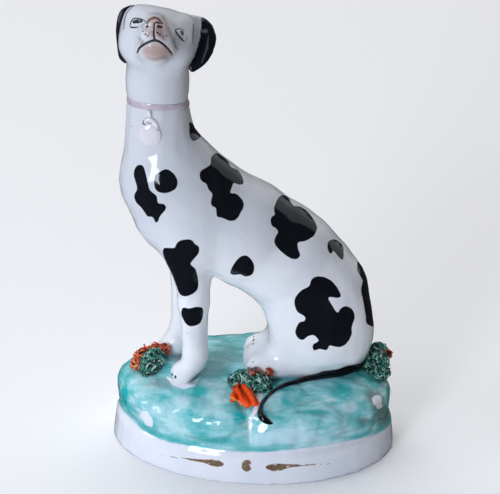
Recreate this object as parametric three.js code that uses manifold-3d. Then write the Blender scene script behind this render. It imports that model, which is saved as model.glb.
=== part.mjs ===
// A seated spotted hound in glazed earthenware on an oval rockwork base, built as a potter builds it:
// pressed half shells, solid legs and hand-made trimmings, each a separate piece luted to the next with slip.
// Millimetres, +Z up. The origin is on the floor under the middle of the base.
// The hound faces -X and turns its head to -Y, so its own left side is the side towards -Y.

import * as THREE from 'three';
import { mergeVertices } from 'three/addons/utils/BufferGeometryUtils.js';
import Module from 'manifold-3d';

const wasm = await Module();
wasm.setup();

// Joints and walls
const slipGap = 0.3; // thickness of the slip between two luted pieces
const bodyWall = 4;
const headWall = 3.2;
const baseWall = 5;

// Oval base: a plain plinth with rockwork on top, closed below by a slab with a vent
const baseLength = 105;
const baseDepth = 69;
const plinthHeight = 11.2;
const plinthFlare = 1.4; // how far the foot stands out past the top of the plinth
const rockSetback = 1.2; // the rockwork's foot behind the plinth's top edge, between boulders
const rockRise = 17.5;
const rockSquareness = 5; // 2 is a round dome, more is steeper at the side and flatter on top
const footRimWidth = 3;
const footRecess = 1.2; // the slab's underside above the floor
const slabThickness = 4;
const ventDiameter = 8;
const ovalSides = 44;
// Boulders by their bearing round the base in degrees, their level from plinth to crown, and their swell
const boulders = [
  { bearing: 186, level: 0.72, spread: 30, swell: 2.2 },
  { bearing: 225, level: 0.5, spread: 22, swell: 1.2 },
  { bearing: 252, level: 0.55, spread: 16, swell: 1.4 },
  { bearing: 269, level: 0.5, spread: 8, swell: -1.8 },
  { bearing: 288, level: 0.55, spread: 18, swell: 1.3 },
  { bearing: 320, level: 0.6, spread: 18, swell: 0.9 },
  { bearing: 352, level: 0.55, spread: 18, swell: 1.2 },
  { bearing: 40, level: 0.5, spread: 24, swell: 1.1 },
  { bearing: 85, level: 0.6, spread: 22, swell: 1.3 },
  { bearing: 128, level: 0.5, spread: 20, swell: 1.2 },
];
const boulderTallness = 0.3; // how much of the climb one boulder takes up

// Where the hound sits on the base
const houndTurn = 10; // degrees from the long axis of the base
const houndSetback = 1.2; // its middle line behind the middle of the base
const ground = plinthHeight + rockRise;

// The hound's trunk: points on its middle line with heights above the ground that it sits on
const trunkWidthShare = 0.9; // width of the trunk against its depth
const collarHeight = 108.6;
const neckRise = 5.4; // the end of the neck above the collar
const neckTop = { x: -35, up: collarHeight + neckRise, r: 9.6 };
const neckMiddle = { x: -35, up: 102, r: 9.7 };
const neckRoot = { x: -34.2, up: 92, r: 11 };
const chest = { x: -31, up: 78, r: 16.2 };
const brisket = { x: -26.9, up: 65.4, r: 16 };
const ribs = { x: -7.5, up: 56.7, r: 18.5 };
const loin = { x: 9.5, up: 46.2, r: 18 };
const rump = { x: 21, up: 32, r: 18.4 };
const seat = { x: 26.4, up: 14, r: 17.2 };
const tailRoot = { x: 35, up: 3.5, r: 6 };
const trunkFillet = 4;

// Limbs, given for one side and mirrored for the other
const shoulder = { x: -24, side: 9, up: 60, length: 10, width: 8.5, height: 18 };
const haunch = { x: 22.5, side: 7, up: 21, length: 18, width: 9.6, height: 19.5 };
const leftLegSpread = 8; // from the middle line to each fore paw
const rightLegSpread = 12.5;
const elbowHeight = 35; // where a foreleg is luted to the trunk
const elbowRadius = 5.2;
const pasternHeight = 11;
const pasternRadius = 4.2;
const pawLength = 13.5;
const pawRadius = 4.5;
const leftStep = 0.3; // how far each fore paw stands ahead of its elbow
const rightStep = 5.2;
const leftLegBack = 1.5; // how far each foreleg stands behind the middle of its shoulder
const rightLegBack = 0.4;
const hindHeelSpread = 6;
const hindToeSpread = 8;
const hindFootLength = 26.5;
const hindFootRadius = 5.2;
const limbFillet = 4.5;
const pawFillet = 2;
const footReach = 25; // how far round a tuft the feet and the rump are felt for
const rumpReach = 37.5;

// The head, turned and lifted on the neck
const headTurn = 88; // degrees from the way the trunk faces, towards the hound's left
const headLift = 35;
const headTilt = -11; // its left side lower
const skullAdvance = 2; // the skull's middle ahead of the neck's
const skullRise = 20.9; // the skull's middle above the collar
const skullWidth = 24;
const skullLength = 24.5;
const skullDepth = 20;
const crownSpread = 6.6; // the high corners of the skull that carry the ears
const crownRise = 5;
const crownRadius = 5.2;
const muzzleLength = 19; // from the skull's middle to the nose
const muzzleRadius = 6.2;
const muzzleDrop = 2.6;
const jawDrop = 7;
const jawRadius = 4.8;
const cheekSpread = 6.5;
const cheekRadius = 5.8;
const headFillet = 4;
const faceSeam = -3; // the seam of the two head shells, ahead of the skull's middle
const earSpread = 12.4;
const earRise = 11; // the ear's root above the skull's middle
const earSetback = 2;
const earLength = 20;
const earWidth = 13.2;
const earThickness = 4;
const leftEarFlare = 5; // degrees out from hanging straight down
const rightEarFlare = -5;
const leftEarSweep = 8; // degrees back from facing forwards
const rightEarSweep = 72;

// Collar and padlock
const collarWidth = 2;
const collarThickness = 0.45;
const padlockTurn = 71; // degrees from the way the trunk faces, towards the hound's left
const padlockWidth = 7.6;
const padlockLength = 10.4; // with its shackle
const padlockThickness = 2;
const padlockDrop = 10; // from the collar to the padlock's middle
const shackleWidth = 5;
const shackleHeight = 3.4;
const linkRadius = 1.1;

// The tail lies on the rockwork. Its route is in plan, in the hound's own directions.
const tailStart = { x: 43, y: 0.5 };
const tailTurn = { x: 36.5, y: -5.5 };
const tailRun = { x: 30, y: -8.6 };
const tailMiddle = { x: 18, y: -13.6 };
const tailBend = { x: 9, y: -18 };
const tailWaist = { x: 3.6, y: -23.4 };
const tailDip = { x: 0.2, y: -27.6 };
const tailHook = { x: -1, y: -29.6 };
const tailCurl = { x: 0.6, y: -30.8 };
const tailTip = { x: 3.2, y: -31 };
const tailRootRadius = 2.2;
const tailWaistRadius = 1.3;
const tailTipRadius = 1.5;

// Grass and flowers of shredded clay, placed in plan on the base
const shredRadius = 0.6;
const shredLength = 4.4;
const padHeight = 2.6; // of the pad of clay under each tuft
const leftTuft = { x: -37, y: -5, across: 11, shreds: 16 };
const leftFlower = { x: -40, y: 1.6, across: 6, shreds: 7 };
const frontTuft = { x: -0.6, y: -15, across: 11, shreds: 16 };
const frontFlower = { x: 5, y: -13, across: 4, shreds: 5 };
const frontPetal = { x: -2.8, y: -22, across: 8.5 };
const rearTuft = { x: 44.4, y: 9.2, across: 10.4, shreds: 14 };
const rearFlower = { x: 46.6, y: 3, across: 4.4, shreds: 5 };

// Fineness of the sculpted surfaces
const bodyCell = 4.6;
const cavityCell = 8;
const headCell = 2.6;
const limbCell = 2.6;
const petalCell = 1.6;
const finestEdge = 0.05; // a cut leaves no edge shorter than this

const degrees = THREE.MathUtils.degToRad;
const clamp = THREE.MathUtils.clamp;
const lerp = THREE.MathUtils.lerp;
const vector = (x, y, z) => new THREE.Vector3(x, y, z);
const farAway = baseLength + ground + collarHeight + skullRise; // clear of the whole figure

// Solids, cuts and joins

function solidFrom(geometry) {
  const bare = geometry.clone();
  bare.deleteAttribute('normal');
  bare.deleteAttribute('uv');
  const merged = mergeVertices(bare, 1e-4);
  return new wasm.Manifold(new wasm.Mesh({
    numProp: 3,
    vertProperties: new Float32Array(merged.attributes.position.array),
    triVerts: new Uint32Array(merged.index.array),
  }));
}

function geometryFrom(solid) {
  const mesh = solid.getMesh();
  const points = Array.from({ length: mesh.numVert }, (_, i) => vector(...mesh.position(i)));
  const facets = Array.from({ length: mesh.numTri }, (_, i) => [...mesh.verts(i)]);
  const kept = withoutSlivers(points, facets);
  const corners = kept.flat().flatMap((corner) => points[corner].toArray());
  const geometry = mergeVertices(skin(corners, [...kept.flat().keys()]));
  geometry.computeVertexNormals();
  return geometry;
}

// The facets of a cut skin once its shortest edges are closed up and its flattest facets are turned.
function withoutSlivers(points, cutFacets) {
  let facets = cutFacets;
  const facetsWith = (...corners) => facets.filter(
    (facet) => corners.every((corner) => facet.includes(corner)),
  );
  const height = ([a, b, c]) => {
    const [ab, bc, ca] = [[a, b], [b, c], [c, a]].map(([from, to]) => points[to].clone().sub(points[from]));
    return ab.clone().cross(ca).length() / Math.max(ab.length(), bc.length(), ca.length());
  };
  const turnings = ([a, b, c]) => [[a, b, c], [b, c, a], [c, a, b]];
  const closeEdge = ([a, b]) => {
    if (points[a].distanceTo(points[b]) > finestEdge) return false;
    const aroundB = new Set(facetsWith(b).flat());
    const shared = new Set(facetsWith(a).flat().filter((corner) => aroundB.has(corner)));
    if (shared.size !== 4) return false;
    points[a].lerp(points[b], 0.5);
    facets = facets
      .filter((facet) => !facet.includes(a) || !facet.includes(b))
      .map((facet) => facet.map((corner) => (corner === b ? a : corner)));
    return true;
  };
  const turnLongEdge = ([a, b, c]) => {
    const flat = height([a, b, c]);
    if (flat > finestEdge / 5) return false;
    const [, other] = facetsWith(a, b).sort((facet) => (facet.includes(c) ? -1 : 1));
    const d = other.find((corner) => corner !== a && corner !== b);
    const turned = [[a, d, c], [d, b, c]];
    if (facetsWith(c, d).length || Math.min(...turned.map(height)) <= flat) return false;
    const [near] = facetsWith(a, b, c);
    facets = facets.filter((facet) => facet !== other && facet !== near).concat(turned);
    return true;
  };
  const mend = (facet) => turnings(facet).some(closeEdge) || turnings(facet).some(turnLongEdge);
  while (facets.some(mend));
  return facets;
}

function block(low, high) {
  const size = high.clone().sub(low);
  const middle = high.clone().add(low).multiplyScalar(0.5);
  return solidFrom(new THREE.BoxGeometry(size.x, size.y, size.z).translate(middle.x, middle.y, middle.z));
}

// What is left of a cut piece when its loose crumbs are wiped away.
function withoutCrumbs(solid) {
  return solid.decompose().reduce((best, piece) => (piece.volume() > best.volume() ? piece : best));
}

// Fields of clay: the distance to a surface, negative inside

function roundCone(a, b) {
  const dx = b.x - a.x;
  const dy = b.y - a.y;
  const dz = b.z - a.z;
  const lengthSquared = dx * dx + dy * dy + dz * dz;
  return (x, y, z) => {
    const along = ((x - a.x) * dx + (y - a.y) * dy + (z - a.z) * dz) / lengthSquared;
    const t = clamp(along, 0, 1);
    return Math.hypot(x - a.x - t * dx, y - a.y - t * dy, z - a.z - t * dz) - lerp(a.r, b.r, t);
  };
}

function ellipsoid(middle, rx, ry, rz) {
  return (x, y, z) => {
    const px = (x - middle.x) / rx;
    const py = (y - middle.y) / ry;
    const pz = (z - middle.z) / rz;
    const scaled = Math.hypot(px, py, pz);
    const slope = Math.hypot(px / rx, py / ry, pz / rz);
    return slope === 0 ? -Math.min(rx, ry, rz) : (scaled * (scaled - 1)) / slope;
  };
}

// Lumps pressed together, with a fillet where they meet.
function pressed(lumps, fillet) {
  return (x, y, z) => lumps.reduce((nearest, lump) => {
    const other = lump(x, y, z);
    const overlap = Math.max(fillet - Math.abs(nearest - other), 0);
    return Math.min(nearest, other) - (overlap * overlap) / (4 * fillet);
  }, farAway);
}

function chain(points, fillet) {
  return pressed(points.slice(1).map((point, i) => roundCone(points[i], point)), fillet);
}

function squeezed(field, widthShare) {
  return (x, y, z) => field(x, y / widthShare, z);
}

function grown(field, distance) {
  return (x, y, z) => field(x, y, z) - distance;
}

function placed(field, matrix) {
  const inverse = matrix.clone().invert();
  const point = vector(0, 0, 0);
  return (x, y, z) => {
    point.set(x, y, z).applyMatrix4(inverse);
    return field(point.x, point.y, point.z);
  };
}

// A grid cell's corners are numbered with a bit for each axis, and its edges run from a corner along an axis.
const cellEdges = [0, 1, 2].flatMap((axis) => [0, 1, 2, 3].map((offset) => {
  const start = ((offset & 1) << ((axis + 1) % 3)) | ((offset >> 1) << ((axis + 2) % 3));
  return [start, start | (1 << axis)];
}));
const cellFaces = [0, 1, 2].flatMap((axis) => [0, 1].map((side) => [...cellEdges.keys()].filter(
  (edge) => cellEdges[edge].every((corner) => ((corner >> axis) & 1) === side),
)));

// The patches of surface in a cell, each as the edges that it cuts. Inside corners that meet only across
// one of the cell's faces stay apart.
function patchesIn(isInside) {
  const isCut = cellEdges.map(([start, end]) => isInside(start) !== isInside(end));
  let patches = [...cellEdges.keys()].filter((edge) => isCut[edge]).map((edge) => [edge]);
  const join = (a, b) => {
    const joined = patches.filter((patch) => patch.includes(a) || patch.includes(b));
    patches = patches.filter((patch) => !joined.includes(patch)).concat([joined.flat()]);
  };
  cellFaces.forEach((face) => {
    const cuts = face.filter((edge) => isCut[edge]);
    cuts.forEach((a) => cuts.filter((b) => b > a).forEach((b) => {
      const roundCorner = cellEdges[a].some((corner) => isInside(corner) && cellEdges[b].includes(corner));
      if (cuts.length === 2 || roundCorner) join(a, b);
    }));
  });
  return patches;
}

// A closed skin of a field, with a vertex for each patch of it in a grid cell. The box's walls close it too.
function sculpted(field, low, high, cell) {
  const [nx, ny, nz] = ['x', 'y', 'z'].map((axis) => Math.ceil((high[axis] - low[axis]) / cell) + 1);
  const steps = [1, nx, nx * ny];
  const place = (index) => vector(index % nx, Math.floor(index / nx) % ny, Math.floor(index / (nx * ny)));
  const value = Float64Array.from({ length: nx * ny * nz }, (_, index) => {
    const { x, y, z } = place(index);
    const distance = field(low.x + x * cell, low.y + y * cell, low.z + z * cell);
    const onWall = x % (nx - 1) === 0 || y % (ny - 1) === 0 || z % (nz - 1) === 0;
    return onWall ? Math.max(distance, cell) : distance;
  });
  const cornerOf = (index, corner) => steps.reduce(
    (sum, step, axis) => sum + ((corner >> axis) & 1) * step,
    index,
  );
  const vertexOf = new Map();
  const positions = [];
  value.forEach((_, index) => {
    const valueAt = (corner) => value[cornerOf(index, corner)];
    patchesIn((corner) => valueAt(corner) < 0).forEach((patch) => {
      const point = vector(0, 0, 0);
      patch.forEach((edge) => point.add(edgeCrossing(cellEdges[edge], valueAt)));
      point.divideScalar(patch.length).add(place(index)).multiplyScalar(cell).add(low);
      drawOnto(field, point, cell);
      patch.forEach((edge) => vertexOf.set(index * cellEdges.length + edge, positions.length / 3));
      positions.push(point.x, point.y, point.z);
    });
  });
  const span = (a, b) => Math.hypot(...[0, 1, 2].map((k) => positions[3 * a + k] - positions[3 * b + k]));
  const faces = [];
  value.forEach((distance, index) => steps.forEach((step, axis) => {
    const inside = distance < 0;
    if (inside === value[index + step] < 0) return;
    const ring = [3, 2, 0, 1].map((offset) => {
      const back = (offset & 1) * steps[(axis + 1) % 3] + (offset >> 1) * steps[(axis + 2) % 3];
      return vertexOf.get((index - back) * cellEdges.length + axis * 4 + offset);
    });
    const [a, b, c, d] = inside ? ring : ring.reverse();
    if (span(a, c) < span(b, d)) faces.push(a, b, c, a, c, d);
    else faces.push(a, b, d, b, c, d);
  }));
  return solidFrom(skin(positions, faces));
}

function skin(positions, faces) {
  const geometry = new THREE.BufferGeometry();
  geometry.setAttribute('position', new THREE.Float32BufferAttribute(positions, 3));
  geometry.setIndex(faces);
  return geometry;
}

// Where the surface crosses a cell's edge, in shares of the cell.
function edgeCrossing([start, end], valueAt) {
  const share = valueAt(start) / (valueAt(start) - valueAt(end));
  const along = (axis) => lerp((start >> axis) & 1, (end >> axis) & 1, share);
  return vector(along(0), along(1), along(2));
}

// Moves a point that is near a field's surface along the field's slope onto it.
function drawOnto(field, point, cell) {
  const step = cell / 50;
  const here = field(point.x, point.y, point.z);
  if (Math.abs(here) > cell / 2) return;
  const slope = vector(
    field(point.x + step, point.y, point.z) - here,
    field(point.x, point.y + step, point.z) - here,
    field(point.x, point.y, point.z + step) - here,
  ).divideScalar(step);
  point.addScaledVector(slope, -here / Math.max(slope.lengthSq(), 0.5));
}

// A closed skin over rings of as many points each. It ends in two fans, or joins its first ring as a loop.
function lofted(rings, loop = false) {
  const sides = rings[0].length;
  const positions = rings.flat().flatMap((point) => point.toArray());
  const faces = [];
  const last = loop ? rings.length : rings.length - 1;
  for (let ring = 0; ring < last; ring++) {
    const next = (ring + 1) % rings.length;
    for (let side = 0; side < sides; side++) {
      const turn = (side + 1) % sides;
      faces.push(ring * sides + side, ring * sides + turn, next * sides + turn);
      faces.push(ring * sides + side, next * sides + turn, next * sides + side);
    }
  }
  const addFan = (ring, reverse) => {
    const hub = positions.length / 3;
    const middle = rings[ring].reduce((sum, point) => sum.add(point), vector(0, 0, 0)).divideScalar(sides);
    positions.push(...middle.toArray());
    for (let side = 0; side < sides; side++) {
      const edge = [ring * sides + side, ring * sides + ((side + 1) % sides)];
      faces.push(hub, ...(reverse ? edge.reverse() : edge));
    }
  };
  if (!loop) {
    addFan(0, true);
    addFan(rings.length - 1, false);
  }
  return skin(positions, faces);
}

// A round rod along a curve, with a radius for each share of its length.
function rod(curve, radiusAt, steps, sides) {
  const frames = curve.computeFrenetFrames(steps, false);
  const rings = Array.from({ length: steps + 1 }, (_, step) => {
    const middle = curve.getPointAt(step / steps);
    return Array.from({ length: sides }, (__, side) => {
      const angle = (side / sides) * 2 * Math.PI;
      const reach = frames.normals[step].clone().multiplyScalar(Math.cos(angle));
      reach.addScaledVector(frames.binormals[step], Math.sin(angle));
      return middle.clone().addScaledVector(reach, radiusAt(step / steps));
    });
  });
  return solidFrom(lofted(rings));
}

// The oval base

function boulderSwell(bearing, level) {
  return boulders.reduce((sum, boulder) => {
    const turn = THREE.MathUtils.euclideanModulo(bearing - boulder.bearing + 180, 360) - 180;
    const away = Math.hypot(turn / boulder.spread, (level - boulder.level) / boulderTallness);
    return sum + boulder.swell * Math.exp(-away * away);
  }, 0);
}

const levelPower = 2.5; // spreads the levels evenly along the rockwork's profile

// A point on the rockwork, moved out by a given distance. Level runs from 0 at the plinth to 1 at the crown.
function rockPoint(bearing, level, outward) {
  const climb = degrees(90 * level ** levelPower);
  const reach = Math.cos(climb) ** (2 / rockSquareness);
  const rise = Math.sin(climb) ** (2 / rockSquareness);
  const heading = vector(Math.cos(degrees(bearing)), Math.sin(degrees(bearing)), 0);
  const halfLength = baseLength / 2 - plinthFlare - rockSetback;
  const halfDepth = baseDepth / 2 - plinthFlare - rockSetback;
  const facing = heading.clone().multiplyScalar(reach ** (rockSquareness - 1));
  facing.z = rise ** (rockSquareness - 1);
  return vector(heading.x * reach * halfLength, heading.y * reach * halfDepth, plinthHeight + rise * rockRise)
    .addScaledVector(facing.normalize(), boulderSwell(bearing, level) + outward);
}

// The point of the rockwork above or below a place in plan, moved out by a given distance.
function onRock(x, y, outward) {
  const across = x / (baseLength / 2 - plinthFlare - rockSetback);
  const along = y / (baseDepth / 2 - plinthFlare - rockSetback);
  const reach = Math.min(Math.hypot(across, along), 1);
  const climb = Math.acos(reach ** (rockSquareness / 2)) / (Math.PI / 2);
  return rockPoint(THREE.MathUtils.radToDeg(Math.atan2(along, across)), climb ** (1 / levelPower), outward);
}

const bearings = Array.from({ length: ovalSides }, (_, side) => (side / ovalSides) * 360);
const rockLevels = [0, 0.15, 0.3, 0.4, 0.5, 0.6, 0.7, 0.8, 0.88, 0.95];

function ovalRing(inset, height) {
  return bearings.map((bearing) => vector(
    Math.cos(degrees(bearing)) * (baseLength / 2 - inset),
    Math.sin(degrees(bearing)) * (baseDepth / 2 - inset),
    height,
  ));
}

// The outside of the base, grown by a given distance.
function baseOutside(outward) {
  return lofted([
    ovalRing(-outward, -outward),
    ovalRing(plinthFlare - outward, plinthHeight),
    ...rockLevels.map((level) => bearings.map((bearing) => rockPoint(bearing, level, outward))),
  ]);
}

const ledgeHeight = footRecess + slabThickness + slipGap;

function baseShell() {
  const hollow = lofted([
    ovalRing(footRimWidth, -footRecess),
    ovalRing(footRimWidth, ledgeHeight),
    ovalRing(plinthFlare + baseWall, ledgeHeight),
    ...rockLevels.filter((level) => level > 0.35).map(
      (level) => bearings.map((bearing) => rockPoint(bearing, level, -baseWall)),
    ),
  ]);
  return solidFrom(baseOutside(0)).subtract(solidFrom(hollow));
}

function baseClosingSlab() {
  const inset = footRimWidth + slipGap;
  const outline = new THREE.Shape();
  outline.absellipse(0, 0, baseLength / 2 - inset, baseDepth / 2 - inset, 0, 2 * Math.PI);
  const vent = new THREE.Path();
  vent.absarc(0, 0, ventDiameter / 2, 0, 2 * Math.PI, true);
  outline.holes.push(vent);
  const slab = new THREE.ExtrudeGeometry(outline, {
    depth: slabThickness,
    bevelEnabled: false,
    curveSegments: ovalSides / 2,
  });
  return solidFrom(slab.translate(0, 0, footRecess));
}

// The hound, in its own frame: the frame of the base moved back and turned

const houndPlace = new THREE.Matrix4()
  .makeRotationZ(degrees(houndTurn))
  .setPosition(0, houndSetback, 0);
const toHound = houndPlace.clone().invert();
const baseUnderHound = solidFrom(baseOutside(slipGap).applyMatrix4(toHound));

const onMiddle = (point) => ({ x: point.x, y: 0, z: ground + point.up, r: point.r });

const neckPoints = [neckTop, neckMiddle, neckRoot].map(onMiddle);
const neckField = chain(neckPoints, trunkFillet);
const backPoints = [neckRoot, chest, ribs, loin, rump, seat, tailRoot].map(onMiddle);
const breastPoints = [chest, brisket, ribs].map(onMiddle);
const trunkField = squeezed(
  pressed([chain(backPoints, trunkFillet), chain(breastPoints, trunkFillet)], trunkFillet),
  trunkWidthShare,
);

// A foreleg's points from shoulder to toes. Side is -1 for the hound's left and 1 for its right.
function forelegPoints(side) {
  const across = side < 0 ? -leftLegSpread : rightLegSpread;
  const step = side < 0 ? leftStep : rightStep;
  const stand = shoulder.x + (side < 0 ? leftLegBack : rightLegBack);
  const elbow = ground + elbowHeight;
  const heel = stand - step;
  return [
    { x: shoulder.x, y: side * shoulder.side, z: elbow + elbowRadius * 3, r: elbowRadius * 1.4 },
    { x: stand - elbowRadius * 0.15, y: across, z: elbow - elbowRadius / 2, r: elbowRadius },
    { x: stand - step / 3, y: across, z: ground + pasternHeight, r: pasternRadius },
    { x: heel, y: across, z: ground + pawRadius * 0.9, r: pawRadius },
    { x: heel - pawLength + 2 * pawRadius, y: across, z: ground + pawRadius * 0.7, r: pawRadius * 0.92 },
  ];
}

function hindFootPoints(side) {
  const heel = haunch.x - hindFootRadius;
  const toe = heel - hindFootLength + 2 * hindFootRadius;
  return [
    { x: heel, y: side * hindHeelSpread, z: ground + hindFootRadius, r: hindFootRadius },
    { x: toe, y: side * hindToeSpread, z: ground + hindFootRadius * 0.8, r: hindFootRadius },
  ];
}

function limbLumps(side) {
  const shoulderMiddle = vector(shoulder.x, side * shoulder.side, ground + shoulder.up);
  const haunchMiddle = vector(haunch.x, side * haunch.side, ground + haunch.up);
  return [
    ellipsoid(shoulderMiddle, shoulder.length, shoulder.width, shoulder.height),
    ellipsoid(haunchMiddle, haunch.length, haunch.width, haunch.height),
    chain(forelegPoints(side), pawFillet),
    chain(hindFootPoints(side), trunkFillet),
  ];
}

const bodyField = pressed(
  [trunkField, neckField, ...limbLumps(-1), ...limbLumps(1)],
  limbFillet,
);
const bodyLow = vector(chest.x - chest.r * 1.8, -chest.r * 1.6, ground - chest.r / 2);
const bodyHigh = vector(tailRoot.x + chest.r, chest.r * 1.6, ground + neckTop.up + neckTop.r * 2);

function bodyHalves() {
  const outside = sculpted(bodyField, bodyLow, bodyHigh, bodyCell);
  const underSeat = { ...onMiddle(seat), z: ground - seat.r };
  const seatHollow = squeezed(roundCone(onMiddle(seat), underSeat), trunkWidthShare);
  const hollowField = grown(pressed([trunkField, neckField, seatHollow], trunkFillet), -bodyWall);
  const hollow = sculpted(hollowField, bodyLow.clone().setZ(ground - 3 * seat.r), bodyHigh, cavityCell);
  const aboveCollar = block(
    vector(-farAway, -farAway, ground + collarHeight - slipGap / 2),
    vector(farAway, farAway, farAway),
  );
  const forelegRoom = block(
    vector(-farAway, -farAway, -farAway),
    vector(shoulder.x + elbowRadius * 1.5, farAway, ground + elbowHeight + slipGap / 2),
  );
  const whole = outside.subtract(hollow).subtract(aboveCollar).subtract(forelegRoom).subtract(baseUnderHound);
  return [-1, 1].map((side) => {
    const otherSide = block(
      vector(-farAway, side > 0 ? -farAway : -slipGap / 2, -farAway),
      vector(farAway, side > 0 ? slipGap / 2 : farAway, farAway),
    );
    return withoutCrumbs(whole.subtract(otherSide));
  });
}

function foreleg(side) {
  const points = forelegPoints(side);
  const low = vector(points[4].x, points[4].y, ground).subScalar(pawRadius * 2);
  const high = vector(points[0].x, points[0].y, points[0].z).addScalar(elbowRadius * 2.4);
  low.y = Math.min(low.y, high.y - elbowRadius * 6);
  high.y = Math.max(high.y, low.y + elbowRadius * 6);
  const aboveElbow = block(
    vector(-farAway, -farAway, ground + elbowHeight - slipGap / 2),
    vector(farAway, farAway, farAway),
  );
  const whole = sculpted(chain(points, pawFillet), low, high, limbCell);
  return whole.subtract(aboveElbow).subtract(baseUnderHound);
}

// The head, in a frame of its own: x ahead, y to the hound's left, z up

const facing = degrees(180 + headTurn);
const headPlace = new THREE.Matrix4()
  .makeRotationZ(facing)
  .multiply(new THREE.Matrix4().makeRotationY(-degrees(headLift)))
  .multiply(new THREE.Matrix4().makeRotationX(degrees(headTilt)))
  .setPosition(
    neckTop.x + skullAdvance * Math.cos(facing),
    skullAdvance * Math.sin(facing),
    ground + collarHeight + skullRise,
  );
const skullField = placed(
  ellipsoid(vector(0, 0, 0), skullLength / 2, skullWidth / 2, skullDepth / 2),
  headPlace,
);
const skullMiddle = vector(0, 0, 0).applyMatrix4(headPlace);
const throat = roundCone(
  onMiddle(neckTop),
  { x: skullMiddle.x, y: skullMiddle.y, z: skullMiddle.z - skullDepth / 4, r: neckTop.r },
);

function faceLumps() {
  const bridge = { x: skullLength / 4, y: 0, z: -muzzleDrop, r: muzzleRadius * 1.2 };
  const nose = { x: muzzleLength - muzzleRadius, y: 0, z: -muzzleDrop, r: muzzleRadius };
  const jawHinge = { x: skullLength / 8, y: 0, z: -jawDrop, r: jawRadius * 1.1 };
  const chin = { x: muzzleLength - jawRadius * 1.4, y: 0, z: -jawDrop, r: jawRadius };
  const cheeks = [-1, 1].map((side) => ellipsoid(
    vector(skullLength / 6, side * cheekSpread, -muzzleDrop * 1.5),
    cheekRadius * 1.2,
    cheekRadius * 0.9,
    cheekRadius,
  ));
  const crown = [-1, 1].map((side) => ellipsoid(
    vector(0, side * crownSpread, crownRise),
    crownRadius * 1.3,
    crownRadius,
    crownRadius,
  ));
  return [roundCone(bridge, nose), roundCone(jawHinge, chin), ...cheeks, ...crown]
    .map((lump) => placed(lump, headPlace));
}

const headField = pressed([skullField, throat, neckField, ...faceLumps()], headFillet);
const headReach = skullLength + muzzleLength;
const headLow = skullMiddle.clone().subScalar(headReach);
const headHigh = skullMiddle.clone().addScalar(headReach);

function headHalves() {
  const belowCollar = block(
    vector(-farAway, -farAway, -farAway),
    vector(farAway, farAway, ground + collarHeight + slipGap / 2),
  );
  const hollowField = grown(pressed([skullField, throat, neckField], headFillet), -headWall);
  const hollow = sculpted(hollowField, headLow, headHigh, headCell * 1.6);
  const whole = sculpted(headField, headLow, headHigh, headCell).subtract(hollow).subtract(belowCollar);
  return [1, -1].map((side) => {
    const otherHalf = new THREE.BoxGeometry(2 * farAway, 2 * farAway, 2 * farAway)
      .translate(faceSeam + side * (slipGap / 2 - farAway), 0, 0)
      .applyMatrix4(headPlace);
    return withoutCrumbs(whole.subtract(solidFrom(otherHalf)));
  });
}

const headRoom = sculpted(grown(headField, slipGap), headLow, headHigh, headCell);

// An ear hangs from its root as a soft leaf: thick along its front edge, thin behind, and rounded at the tip.
function ear(side, flare, sweep) {
  const earPlace = new THREE.Matrix4()
    .makeRotationZ(degrees(side * sweep))
    .multiply(new THREE.Matrix4().makeRotationX(degrees(side * flare)))
    .setPosition(-earSetback, side * earSpread, earRise)
    .premultiply(headPlace);
  const stations = 9;
  const sides = 10;
  const rings = Array.from({ length: stations }, (_, station) => {
    const share = (station + 0.3) / (stations - 0.4);
    const fullness = Math.sin(Math.PI * share ** 0.8) ** 0.6;
    const cup = earThickness * 0.5 * Math.sin(Math.PI * share);
    return Array.from({ length: sides }, (__, point) => {
      const angle = (point / sides) * 2 * Math.PI;
      const across = (earWidth / 2) * fullness * Math.cos(angle);
      const out = (earThickness / 2) * fullness ** 0.5 * Math.sin(angle) - cup * (2 * across / earWidth) ** 2;
      return vector(out, across, -earLength * share).applyMatrix4(earPlace);
    });
  });
  return withoutCrumbs(solidFrom(lofted(rings)).subtract(headRoom));
}

// Collar and padlock

// How far the surface of neck and throat lies from the neck's axis, at a height and in a direction.
function neckReach(height, angle) {
  let inside = 0;
  let outside = neckRoot.r * 3;
  while (outside - inside > slipGap / 100) {
    const reach = (inside + outside) / 2;
    const point = [neckTop.x + reach * Math.cos(angle), reach * Math.sin(angle), height];
    const isInside = Math.min(bodyField(...point), headField(...point)) < 0;
    if (isInside) inside = reach;
    else outside = reach;
  }
  return inside;
}

function collar() {
  const middle = ground + collarHeight;
  const profile = [
    { out: slipGap, up: collarWidth / 2 },
    { out: slipGap + collarThickness * 0.7, up: collarWidth / 2 },
    { out: slipGap + collarThickness, up: 0 },
    { out: slipGap + collarThickness * 0.7, up: -collarWidth / 2 },
    { out: slipGap, up: -collarWidth / 2 },
  ];
  const sides = 30;
  const rings = Array.from({ length: sides }, (_, side) => {
    const angle = (side / sides) * 2 * Math.PI;
    return profile.map((point) => {
      const reach = neckReach(middle + point.up, angle) + point.out;
      return vector(neckTop.x + reach * Math.cos(angle), reach * Math.sin(angle), middle + point.up);
    });
  });
  return solidFrom(lofted(rings, true));
}

const padlockAngle = degrees(180 + padlockTurn);
const padlockHeight = ground + collarHeight - padlockDrop;

// A place on the neck under the collar: x to one side, y up along the neck, z out.
function neckPlace(height) {
  const reach = neckReach(height, padlockAngle);
  const above = neckReach(height + padlockLength / 2, padlockAngle);
  const below = neckReach(height - padlockLength / 2, padlockAngle);
  const rise = above - below;
  const up = vector(Math.cos(padlockAngle) * rise, Math.sin(padlockAngle) * rise, padlockLength).normalize();
  const across = vector(-Math.sin(padlockAngle), Math.cos(padlockAngle), 0);
  const out = across.clone().cross(up);
  const origin = vector(neckTop.x + reach * Math.cos(padlockAngle), reach * Math.sin(padlockAngle), height);
  return new THREE.Matrix4().makeBasis(across, up, out).setPosition(origin);
}

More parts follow.
